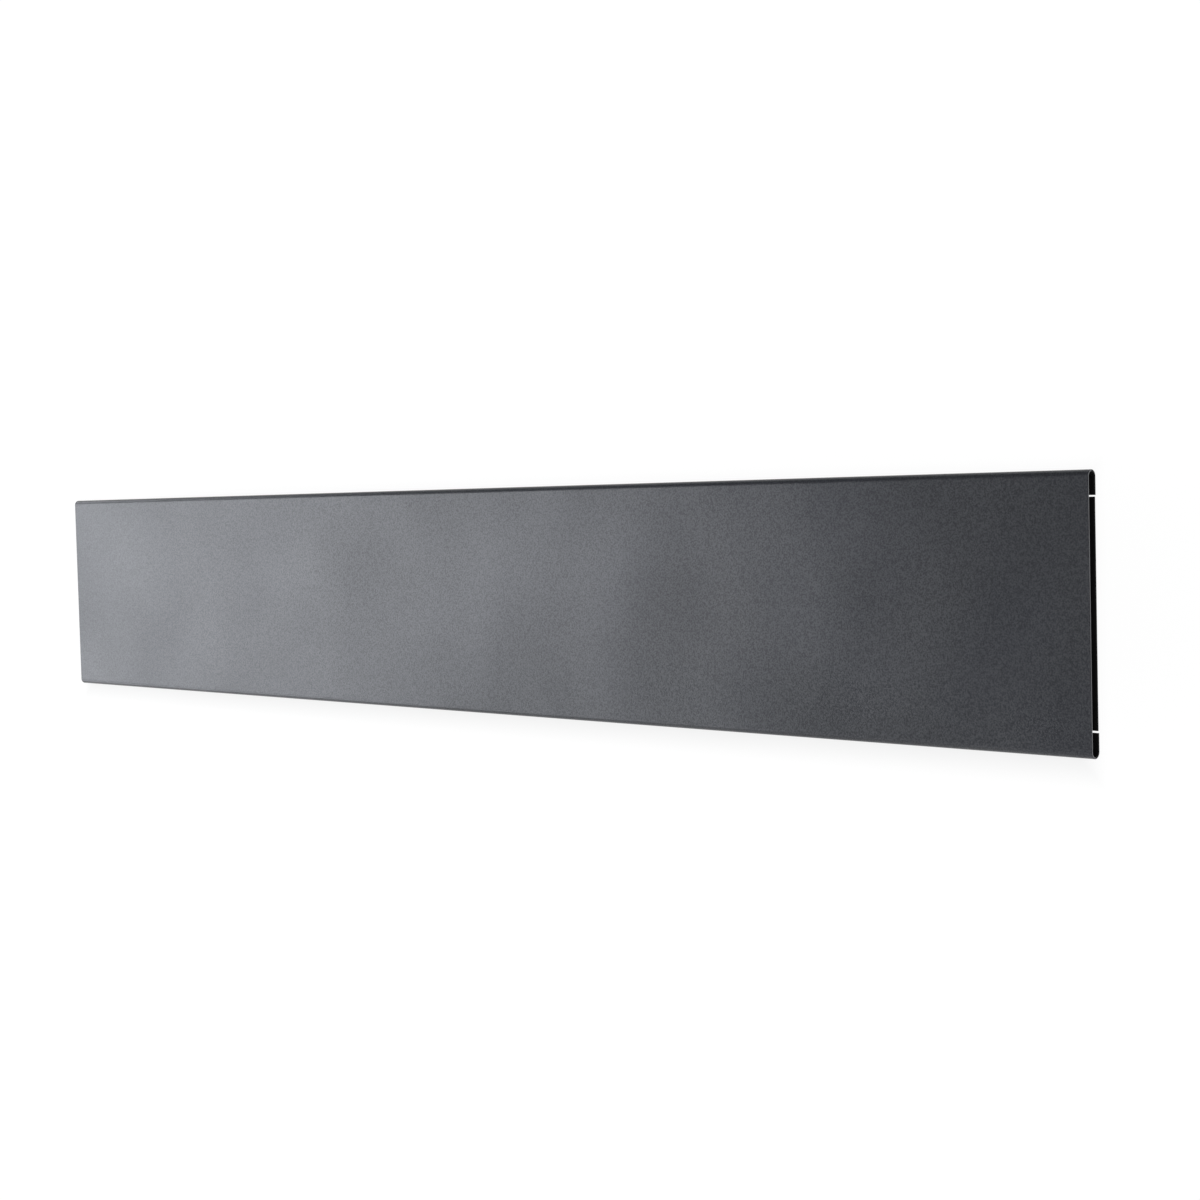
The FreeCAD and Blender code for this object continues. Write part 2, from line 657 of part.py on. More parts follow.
# Control board, its parts and the leads that end on its terminal block
board_left = barrier_cold_x + BOARD_LEFT_MARGIN
board_right = sheet_end - THERMOSTAT_DEPTH - BOARD_RIGHT_MARGIN
board_mid = (board_left + board_right) / 2
board_z = (upper_leg_z - BOARD_DROP - BOARD_HEIGHT / 2, upper_leg_z - BOARD_DROP + BOARD_HEIGHT / 2)
board_rear_y = back_inner_y - STANDOFF_HEIGHT
board_front_y = board_rear_y - BOARD_SHEET
board_corners = [(x, z) for x in (board_left + BOARD_HOLE_INSET, board_right - BOARD_HOLE_INSET)
                 for z in (board_z[0] + BOARD_HOLE_INSET, board_z[1] - BOARD_HOLE_INSET)]
terminal_left = board_left + BOARD_HOLE_INSET + STANDOFF_HEAD_RADIUS + TERMINAL_EDGE
terminal_z = (board_z[0] + TERMINAL_EDGE, board_z[0] + TERMINAL_EDGE + TERMINAL_HEIGHT)
terminal_front_y = board_front_y - TERMINAL_DEPTH
terminal_ways = [terminal_left + TERMINAL_PITCH * (way + 0.5) for way in range(TERMINAL_WAYS)]
earth_tab_x = terminal_ways[2]
earth_tab_z = lower_leg_z - EARTH_TAB_DROP
earth_tab_tip_y = back_inner_y - EARTH_TAB_LENGTH
switch_tab_x = casing_end - SWITCH_DEPTH - SWITCH_TAB_LENGTH


def control_board():
    """Return the board with a hole for each standoff."""
    y = (board_front_y, board_rear_y)
    holes = [y_rod(STANDOFF_TIP_RADIUS + RUN_FIT, x, y, z) for x, z in board_corners]
    return drill(box((board_left, board_right), y, board_z), holes)


def standoff(x, z):
    """Return one snap-in standoff between the casing back and the board."""
    body = y_rod(STANDOFF_RADIUS, x, (board_rear_y, back_inner_y), z)
    tip = y_rod(STANDOFF_TIP_RADIUS, x, (board_front_y, board_rear_y), z)
    head = y_rod(STANDOFF_HEAD_RADIUS, x, (board_front_y - STANDOFF_HEAD_HEIGHT, board_front_y), z)
    return join(body, tip, head)


def on_board(x_middle, z_low, size):
    """Return a box that stands on the board's front face."""
    length, height, width = size
    return box((x_middle - length / 2, x_middle + length / 2), (board_front_y - height, board_front_y),
               (z_low, z_low + width))


def board_parts():
    """Return the relay, the transformer and the capacitor above the terminal block."""
    z_low = terminal_z[1] + BOARD_PART_GAP / 2
    relay = on_board(board_mid, z_low, RELAY_SIZE)
    transformer_x = board_mid + RELAY_SIZE[0] / 2 + BOARD_PART_GAP + TRANSFORMER_SIZE[0] / 2
    transformer = on_board(transformer_x, z_low, TRANSFORMER_SIZE)
    capacitor_x = board_mid - RELAY_SIZE[0] / 2 - BOARD_PART_GAP - CAPACITOR_RADIUS
    capacitor_y = (board_front_y - CAPACITOR_HEIGHT, board_front_y)
    capacitor = y_rod(CAPACITOR_RADIUS, capacitor_x, capacitor_y, z_low + CAPACITOR_RADIUS)
    return group([relay, transformer, capacitor])


def terminal_block():
    """Return the row of terminals on the board."""
    x = (terminal_left, terminal_left + TERMINAL_PITCH * TERMINAL_WAYS)
    return box(x, (terminal_front_y, board_front_y), terminal_z)


def thermal_cutout():
    """Return the safety cutout on the cold face of the barrier."""
    x = (barrier_cold_x, barrier_cold_x + CUTOUT_HEIGHT)
    return x_rod(CUTOUT_RADIUS, x, mid_y, casing_top - CUTOUT_DROP)


def earth_tab():
    """Return the earth tab on the casing back: a foot and a blade."""
    half = EARTH_TAB_WIDTH / 2
    z = (earth_tab_z - half, earth_tab_z + half)
    blade_x = (earth_tab_x - EARTH_TAB_SHEET / 2, earth_tab_x + EARTH_TAB_SHEET / 2)
    blade = box(blade_x, (earth_tab_tip_y, back_inner_y), z)
    foot = box((blade_x[0], blade_x[0] + EARTH_TAB_LENGTH), (back_inner_y - EARTH_TAB_SHEET, back_inner_y), z)
    return join(blade, foot)


def terminal_entry(way, stub):
    """Return the last two points of a lead that enters one way of the terminal block."""
    z = sum(terminal_z) / 2
    x = terminal_ways[way]
    return [V(x, terminal_front_y - stub, z), V(x, terminal_front_y, z)]


def leads():
    """Return the wires from the element, the earth tab and the switch to the terminal block."""
    routes = []
    for way, z in enumerate((upper_leg_z, lower_leg_z)):
        start = [V(pin_end_x, mid_y, z), V(pin_end_x + LEAD_STUB, mid_y, z)]
        routes.append(start + terminal_entry(way, LEAD_STUB))
    earth = [V(earth_tab_x, earth_tab_tip_y, earth_tab_z), V(earth_tab_x, earth_tab_tip_y - LEAD_STUB, earth_tab_z)]
    routes.append(earth + terminal_entry(2, LEAD_STUB))
    for way, side in ((3, -1), (4, 1)):
        y = mid_y + side * SWITCH_TAB_SPACING / 2
        start = [V(switch_tab_x, y, switch_z), V(switch_tab_x - LEAD_STUB, y, switch_z)]
        routes.append(start + terminal_entry(way, LEAD_STUB + (4 - way) * LEAD_STUB_STEP))
    return group([bent_wire(route, LEAD_RADIUS) for route in routes])


# Faces of the thermostat stack along X
bush_end_x = sheet_end + THERMOSTAT_BUSH_LENGTH
knob_base_x = casing_end + KNOB_LIFT
knob_top_x = knob_base_x + KNOB_HEIGHT
shaft_start_x = sheet_end - SHAFT_SEAT
shaft_end_x = knob_top_x - KNOB_ROOF
recess_end_x = max(bush_end_x, casing_end + THERMOSTAT_NUT_HEIGHT) + KNOB_RECESS_MARGIN


def thermostat_body():
    """Return the thermostat's case and threaded bush, bored for the shaft."""
    half = THERMOSTAT_SIDE / 2
    case = box((sheet_end - THERMOSTAT_DEPTH, sheet_end), (mid_y - half, mid_y + half),
               (knob_z - half, knob_z + half))
    bush = x_rod(THERMOSTAT_BUSH_RADIUS, (sheet_end, bush_end_x), mid_y, knob_z)
    bore = x_rod(SHAFT_RADIUS + RUN_FIT, (shaft_start_x - EASE, bush_end_x), mid_y, knob_z)
    return drill(join(case, bush), [bore])


def thermostat_nut():
    """Return the nut that clamps the thermostat to the end cap."""
    x = (casing_end, casing_end + THERMOSTAT_NUT_HEIGHT)
    bore = x_rod(THERMOSTAT_BUSH_RADIUS + CLOSE_FIT, x, mid_y, knob_z)
    return drill(x_hexagon(THERMOSTAT_NUT_FLATS, x, mid_y, knob_z), [bore])


def thermostat_shaft():
    """Return the shaft that turns with the knob."""
    return x_rod(SHAFT_RADIUS, (shaft_start_x, shaft_end_x), mid_y, knob_z)


def thermostat_knob():
    """Return the fluted knob with a pointer groove, recessed over the nut."""
    base = V(knob_base_x, mid_y, knob_z)
    body = Part.makeCone(KNOB_RADIUS, KNOB_TOP_RADIUS, KNOB_HEIGHT, base, V(1, 0, 0))
    recess = x_rod(KNOB_RECESS_RADIUS, (knob_base_x, recess_end_x), mid_y, knob_z)
    bore = x_rod(SHAFT_RADIUS + CLOSE_FIT, (knob_base_x, shaft_end_x), mid_y, knob_z)
    pointer = box((knob_top_x - KNOB_POINTER_DEPTH, knob_top_x),
                  (mid_y - KNOB_POINTER_WIDTH / 2, mid_y + KNOB_POINTER_WIDTH / 2),
                  (knob_z, knob_z + KNOB_RADIUS))
    flutes = []
    for index in range(KNOB_FLUTES):
        angle = 2 * math.pi * (index + 0.5) / KNOB_FLUTES
        y = mid_y + KNOB_RADIUS * math.sin(angle)
        z = knob_z + KNOB_RADIUS * math.cos(angle)
        flutes.append(x_rod(KNOB_FLUTE_RADIUS, (knob_base_x, knob_top_x), y, z))
    return drill(body, [recess, bore, pointer] + flutes)


# Faces of the switch stack along X
switch_face_x = casing_end + SWITCH_BEZEL_HEIGHT
rocker_pivot_x = casing_end - ROCKER_PIVOT_DEPTH
switch_cavity_y = SWITCH_WIDTH / 2 - SWITCH_WALL
switch_cavity_z = SWITCH_HEIGHT / 2 - SWITCH_WALL
trunnion_reach = switch_cavity_y + TRUNNION_SEAT


def switch_body():
    """Return the switch housing with its bezel, rocker well, trunnion seats and rear tabs."""
    half_y = SWITCH_WIDTH / 2
    half_z = SWITCH_HEIGHT / 2
    rear_x = casing_end - SWITCH_DEPTH
    housing = box((rear_x, casing_end), (mid_y - half_y, mid_y + half_y), (switch_z - half_z, switch_z + half_z))
    rim_y = half_y + SWITCH_BEZEL_RIM
    rim_z = bezel_height / 2
    bezel = box((casing_end, switch_face_x), (mid_y - rim_y, mid_y + rim_y), (switch_z - rim_z, switch_z + rim_z))
    tab_z = (switch_z - SWITCH_TAB_WIDTH / 2, switch_z + SWITCH_TAB_WIDTH / 2)
    tabs = []
    for side in (-1, 1):
        y = mid_y + side * SWITCH_TAB_SPACING / 2
        tabs.append(box((switch_tab_x, rear_x), (y - SWITCH_TAB_SHEET / 2, y + SWITCH_TAB_SHEET / 2), tab_z))
    well_floor_x = rocker_pivot_x - ROCKER_TAIL - ROCKER_END_CLEAR - ROCKER_PROUD
    well = box((well_floor_x, switch_face_x), (mid_y - switch_cavity_y, mid_y + switch_cavity_y),
               (switch_z - switch_cavity_z, switch_z + switch_cavity_z))
    seat_y = (mid_y - trunnion_reach - RUN_FIT, mid_y + trunnion_reach + RUN_FIT)
    seats = y_rod(TRUNNION_RADIUS + RUN_FIT, rocker_pivot_x, seat_y, switch_z)
    return drill(join(housing, bezel, *tabs), [well, seats])


def switch_rocker():
    """Return the dished rocker on its trunnion, tilted to its off position."""
    half_y = switch_cavity_y - ROCKER_SIDE_CLEAR
    half_z = switch_cavity_z - ROCKER_END_CLEAR
    tip_x = switch_face_x + ROCKER_PROUD
    tail_x = rocker_pivot_x - ROCKER_TAIL
    outline = [V(tail_x, mid_y - half_y, switch_z - half_z), V(tip_x, mid_y - half_y, switch_z - half_z),
               V(tip_x - ROCKER_DISH, mid_y - half_y, switch_z), V(tip_x, mid_y - half_y, switch_z + half_z),
               V(tail_x, mid_y - half_y, switch_z + half_z)]
    block = prism(outline, V(0, 2 * half_y, 0))
    trunnion_y = (mid_y - trunnion_reach, mid_y + trunnion_reach)
    trunnion = y_rod(TRUNNION_RADIUS, rocker_pivot_x, trunnion_y, switch_z)
    rocker = join(block, trunnion)
    rocker.rotate(V(rocker_pivot_x, mid_y, switch_z), V(0, 1, 0), -ROCKER_TILT)
    return rocker


def pilot_lens():
    """Return the pilot lamp's lens with its collar and rounded front."""
    dome_x = casing_end + LENS_COLLAR_HEIGHT + LENS_DOME_HEIGHT
    stem = x_rod(LENS_RADIUS, (sheet_end - LENS_LENGTH, dome_x), mid_y, lens_z)
    front = [edge for edge in stem.Edges
             if len(edge.Vertexes) == 1 and edge.CenterOfMass.x > dome_x - CLOSE_FIT]
    stem = stem.makeFillet(min(LENS_DOME_ROUND, LENS_DOME_HEIGHT / 2), front)
    return join(stem, x_rod(LENS_COLLAR_RADIUS, (casing_end, casing_end + LENS_COLLAR_HEIGHT), mid_y, lens_z))


# Faces of the gland stack along X
gland_tail_x = sheet_end - GLAND_TAIL
gland_hex_x = casing_end + GLAND_HEX_HEIGHT
gland_nose_x = gland_hex_x + GLAND_NOSE_LENGTH
gland_seal_x = gland_nose_x + GLAND_SEAL_LENGTH
gland_front_x = gland_seal_x + GLAND_DOME_FRONT


def gland_body():
    """Return the gland: a thread through the end cap, a hexagon and a nose, bored for a cable."""
    thread = x_rod(GLAND_THREAD_RADIUS, (gland_tail_x, casing_end), mid_y, gland_z)
    hexagon = x_hexagon(GLAND_FLATS, (casing_end, gland_hex_x), mid_y, gland_z)
    nose = x_rod(GLAND_NOSE_RADIUS, (gland_hex_x, gland_nose_x), mid_y, gland_z)
    bore = x_rod(GLAND_BORE_RADIUS, (gland_tail_x, gland_nose_x), mid_y, gland_z)
    return drill(join(thread, hexagon, nose), [bore])


def gland_dome():
    """Return the dome nut over the nose and the seal."""
    x = (gland_hex_x, gland_front_x)
    dome = x_rod(GLAND_DOME_RADIUS, x, mid_y, gland_z)
    front = [edge for edge in dome.Edges
             if len(edge.Vertexes) == 1 and edge.CenterOfMass.x > gland_front_x - CLOSE_FIT]
    dome = dome.makeFillet(min(GLAND_DOME_ROUND, GLAND_DOME_FRONT * 0.9), front)
    well = x_rod(GLAND_NOSE_RADIUS + RUN_FIT, (gland_hex_x, gland_seal_x), mid_y, gland_z)
    mouth = x_rod(GLAND_BORE_RADIUS + 2 * HOLE_CLEAR, x, mid_y, gland_z)
    return drill(dome, [well, mouth])


def gland_seal():
    """Return the rubber ring between the nose and the dome nut."""
    x = (gland_nose_x, gland_seal_x)
    inner = GLAND_BORE_RADIUS + HOLE_CLEAR
    outer = min(inner + GLAND_SEAL_WALL, GLAND_NOSE_RADIUS)
    return drill(x_rod(outer, x, mid_y, gland_z), [x_rod(inner, x, mid_y, gland_z)])


def gland_locknut():
    """Return the nut that clamps the gland inside the end cap."""
    x = (sheet_end - GLAND_LOCKNUT_HEIGHT, sheet_end)
    bore = x_rod(GLAND_THREAD_RADIUS + CLOSE_FIT, x, mid_y, gland_z)
    return drill(x_hexagon(GLAND_LOCKNUT_FLATS, x, mid_y, gland_z), [bore])


# Widths and faces of the wall mount
upright_inner = HANGER_WIDTH / 2 + HANGER_SIDE_CLEAR
upright_outer = upright_inner + UPRIGHT_SHEET
upright_low = pivot_z - ear_radius
upright_high = clip_z + CLIP_HALF_HEIGHT + UPRIGHT_TOP
clip_base_y = -UPRIGHT_SHEET


def wall_upright(x):
    """Return one channel upright: a base on the wall, drilled for screws, and two cheeks with pivot ears."""
    base = box((x - upright_outer, x + upright_outer), (-UPRIGHT_SHEET, 0), (upright_low, upright_high))
    cheeks = []
    holes = []
    for side in (-1, 1):
        cheek_x = (x + side * upright_inner, x + side * upright_outer)
        blade = box(cheek_x, (pivot_y - ear_radius, 0), (pivot_z, upright_high))
        ear = x_rod(ear_radius, cheek_x, pivot_y, pivot_z)
        root = box(cheek_x, (pivot_y, 0), (upright_low, pivot_z))
        cheeks += [blade, ear, root]
        holes.append(x_rod(PIVOT_RADIUS + CLOSE_FIT, cheek_x, pivot_y, pivot_z))
    holes += [y_rod(SCREW_HOLE_RADIUS, x, (-UPRIGHT_SHEET, 0), z) for z in (-screw_z, screw_z)]
    return drill(join(base, *cheeks), holes)


def wall_crossbar():
    """Return the flat bar that ties the two uprights together on the wall."""
    inner = UPRIGHT_SPACING / 2 - upright_outer
    return box((-inner, inner), (-CROSSBAR_SHEET, 0), (-CROSSBAR_HEIGHT / 2, CROSSBAR_HEIGHT / 2))


def pivot_pin(x):
    """Return one headed pin across an upright's ears."""
    pin = x_rod(PIVOT_RADIUS, (x - upright_outer, x + upright_outer), pivot_y, pivot_z)
    heads = []
    for side in (-1, 1):
        face = x + side * upright_outer
        heads.append(x_rod(PIVOT_HEAD_RADIUS, (face, face + side * PIVOT_HEAD_HEIGHT), pivot_y, pivot_z))
    return join(pin, *heads)


def spring_clip(x):
    """Return one sheet clip whose two flared leaves grip a catch blade."""
    inner = BLADE_SHEET / 2 + EASE
    outer = inner + CLIP_SHEET
    base_y = clip_base_y - CLIP_SHEET
    leaf_y = base_y - CLIP_GRIP
    tip_y = leaf_y - CLIP_FLARE
    upper = [(clip_base_y, CLIP_HALF_HEIGHT), (base_y, CLIP_HALF_HEIGHT), (base_y, outer), (leaf_y, outer),
             (tip_y, outer + CLIP_FLARE), (tip_y, inner + CLIP_FLARE), (leaf_y, inner), (base_y, inner)]
    lower = [(y, -z) for y, z in reversed(upper)]
    points = [V(x - CLIP_WIDTH / 2, y, clip_z + z) for y, z in upper + lower]
    return prism(points, V(CLIP_WIDTH, 0, 0))


def hanger(x):
    """Return one hanger: a plate on the casing back, a hook over the pivot pin and a catch blade."""
    plate_y = (back_y, back_y + HANGER_SHEET)
    plate = box((x - HANGER_WIDTH / 2, x + HANGER_WIDTH / 2), plate_y, (hanger_low, hanger_high))
    hook_x = (x - HOOK_WIDTH / 2, x + HOOK_WIDTH / 2)
    saddle = x_rod(hook_outer, hook_x, pivot_y, pivot_z)
    neck = box(hook_x, (plate_y[1], pivot_y), (hanger_low, pivot_z + hook_outer))
    below = box(hook_x, (pivot_y - hook_outer, pivot_y + hook_outer), (pivot_z - 2 * hook_outer, hanger_low))
    seat = x_rod(hook_inner, hook_x, pivot_y, pivot_z)
    hook = drill(join(saddle, neck), [below, seat])
    blade_tip_y = clip_base_y - CLIP_SHEET - BLADE_TIP_GAP
    blade = box((x - BLADE_WIDTH / 2, x + BLADE_WIDTH / 2), (plate_y[1], blade_tip_y),
                (clip_z - BLADE_SHEET / 2, clip_z + BLADE_SHEET / 2))
    return drill(join(plate, hook, blade), rivet_holes(hanger_rivets, plate_y))


def panel_pieces():
    """Return the panel, the shield and what fixes them."""
    return {
        "front_panel": front_panel(),
        "heat_shield": heat_shield(),
        "panel_studs": group([panel_stud(*seat) for seat in stud_seats()]),
        "panel_nuts": group([panel_nut(*seat) for seat in stud_seats()]),
    }


def casing_pieces():
    """Return the casing sheets, the end caps and their fixings."""
    flange_y = back_inner_y - CASING_SHEET
    return {
        "outlet_rail": rail(casing_top, 1, top_rivets),
        "inlet_rail": rail(casing_bottom, -1, bottom_rivets),
        "casing_back": casing_back(),
        "casing_rivets": group([rivet(x, z, back_y, flange_y) for x, z in top_rivets + bottom_rivets]),
        "left_end_cap": end_cap(-1),
        "right_end_cap": right_end_cap(),
        "cap_screws": group([cap_screw(x, z) for x, z in cap_screws]),
    }


def element_pieces():
    """Return the heating element, its supports and the heat barrier."""
    support_faces = (left_support_x, centre_support_x, barrier_x)
    legs = (upper_leg_z, lower_leg_z)
    foot_y = back_inner_y - SUPPORT_SHEET
    return {
        "element_tube": element_tube(),
        "element_fins": element_fins(),
        "left_element_support": element_support(left_support_x),
        "centre_element_support": element_support(centre_support_x),
        "heat_barrier": heat_barrier(),
        "element_bushes": group([element_bush(x, z) for x in support_faces for z in legs]),
        "support_rivets": group([rivet(x, z, back_y, foot_y) for x, z in support_rivets]),
        "terminal_beads": group([terminal_bead(z) for z in legs]),
        "terminal_pins": group([x_rod(PIN_RADIUS, (tube_end_x, pin_end_x), mid_y, z) for z in legs]),
    }


def control_pieces():
    """Return the electrical parts, the controls and the gland."""
    return {
        "thermal_cutout": thermal_cutout(),
        "control_board": control_board(),
        "board_standoffs": group([standoff(x, z) for x, z in board_corners]),
        "board_parts": board_parts(),
        "terminal_block": terminal_block(),
        "earth_tab": earth_tab(),
        "leads": leads(),
        "thermostat_body": thermostat_body(),
        "thermostat_nut": thermostat_nut(),
        "thermostat_shaft": thermostat_shaft(),
        "thermostat_knob": thermostat_knob(),
        "switch_body": switch_body(),
        "switch_rocker": switch_rocker(),
        "pilot_lens": pilot_lens(),
        "gland_body": gland_body(),
        "gland_dome": gland_dome(),
        "gland_seal": gland_seal(),
        "gland_locknut": gland_locknut(),
    }


def mount_pieces():
    """Return the wall mount and the hangers that hook onto it."""
    hanger_tail_y = back_inner_y
    hanger_head_y = back_y + HANGER_SHEET
    pieces = {
        "wall_crossbar": wall_crossbar(),
        "pivot_pins": group([pivot_pin(x) for x in upright_places.values()]),
        "spring_clips": group([spring_clip(x) for x in upright_places.values()]),
        "hanger_rivets": group([rivet(x, z, hanger_head_y, hanger_tail_y) for x, z in hanger_rivets]),
    }
    for side, x in upright_places.items():
        pieces[f"{side}_wall_upright"] = wall_upright(x)
        pieces[f"{side}_hanger"] = hanger(x)
    return pieces


os.makedirs("parts", exist_ok=True)
for pieces in (panel_pieces(), casing_pieces(), element_pieces(), control_pieces(), mount_pieces()):
    for node, shape in pieces.items():
        shape.exportStep(f"parts/{node}.step")
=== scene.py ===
"""Looks of a low wall-hung panel convector heater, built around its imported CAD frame.

X runs along the panel, the room is towards -Y, the wall is at Y = 0 and Z is up, as in CAD. Meshes,
the room and the camera are in metres. The sizes that the heater's own classes hold, and those whose
names end in mm, are in millimetres, as on a drawing.
"""

import logging
import math
from collections.abc import Callable
from dataclasses import dataclass, replace
from enum import Enum, IntEnum

import bmesh
import bpy
from mathutils import Matrix, Vector


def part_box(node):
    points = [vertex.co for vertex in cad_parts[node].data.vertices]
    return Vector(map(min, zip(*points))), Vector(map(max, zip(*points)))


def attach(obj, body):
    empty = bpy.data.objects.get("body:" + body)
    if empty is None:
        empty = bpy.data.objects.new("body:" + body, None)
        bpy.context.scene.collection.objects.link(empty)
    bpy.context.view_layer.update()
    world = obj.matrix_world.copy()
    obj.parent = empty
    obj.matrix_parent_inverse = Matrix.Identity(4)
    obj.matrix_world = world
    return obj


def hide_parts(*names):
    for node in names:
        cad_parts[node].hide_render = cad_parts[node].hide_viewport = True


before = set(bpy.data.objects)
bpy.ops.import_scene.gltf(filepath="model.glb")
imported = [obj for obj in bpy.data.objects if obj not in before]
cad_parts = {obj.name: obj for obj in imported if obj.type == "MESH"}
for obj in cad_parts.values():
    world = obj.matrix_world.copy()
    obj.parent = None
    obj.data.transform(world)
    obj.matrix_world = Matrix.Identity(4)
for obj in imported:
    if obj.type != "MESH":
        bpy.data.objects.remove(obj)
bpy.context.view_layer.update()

LOG = logging.getLogger("heater")

Colour = tuple[float, float, float, float]
Point = tuple[float, float, float]
Span = tuple[float, float]
Corners = tuple[Vector, Vector]
Ring = tuple[float, float, float]
Tree = bpy.types.NodeTree
Node = bpy.types.Node
Socket = bpy.types.NodeSocket
Profile = Callable[[Socket], tuple[Node, Node]]

MM = 0.001
# Gaps that are closed between loose triangles, and along the seam of a rolled grid.
JOIN_GAP = 0.001 * MM
SEAM_GAP = 0.0005 * MM
# Angle between two faces past which their edge stays crisp, and how steeply a flute dips.
CREASE_DEG = 32.0
FLUTE_SHAPE = 1.5
# A hexagon's sides, and its width over the flats as a share of that over the corners.
HEXAGON_SIDES = 6
HEXAGON_FLATS = math.sqrt(0.75)
# Most that a round fastener is turned either way about its own axis.
FULL_TURN: Point = (0.0, math.pi, 0.0)

# The middle stretch of a noise's values, which each pattern spreads over its whole range.
GRAIN_SPAN: Span = (0.35, 0.65)
CLOUD_SPAN: Span = (0.4, 0.7)
PATCH_SPAN: Span = (0.3, 0.7)
# Width of one band of a wave texture at a scale of 1, and the shader's own level of sheen.
BAND_WIDTH = 0.314
PLAIN_SHEEN = 0.5


def linear(code: str) -> Colour:
    """Turn an sRGB hex colour into linear values.

    Args:
        code: A colour such as "#3d3e42".

    Returns:
        Red, green, blue and alpha for a colour socket.
    """
    parts = [int(code[at:at + 2], 16) / 255 for at in (1, 3, 5)]
    red, green, blue = (part / 12.92 if part <= 0.04045 else ((part + 0.055) / 1.055) ** 2.4
                        for part in parts)
    return red, green, blue, 1.0


def add(tree: Tree, kind: str, inputs: dict[str | int, object] | None = None,
        **settings: object) -> Node:
    """Add one node to a tree with its settings, values and links.

    Args:
        tree: The tree that it goes into.
        kind: Blender's type of the node.
        inputs: A value, a socket, a node or a list of nodes for each input's name or number.
        **settings: The node's own properties.

    Returns:
        The new node.
    """
    node = tree.nodes.new(kind)
    for name, value in settings.items():
        setattr(node, name, value)
    for key, value in (inputs or {}).items():
        for item in value if isinstance(value, list) else [value]:
            source = item.outputs[0] if isinstance(item, Node) else item
            if isinstance(source, Socket):
                tree.links.new(source, node.inputs[key])
            else:
                node.inputs[key].default_value = source
    return node


class Lay(Enum):
    """How a surface's grain is stretched along X, Y and Z."""

    EVEN = (1.0, 1.0, 1.0)
    ALONG_X = (0.04, 1.0, 1.0)
    ALONG_Z = (1.0, 1.0, 0.04)


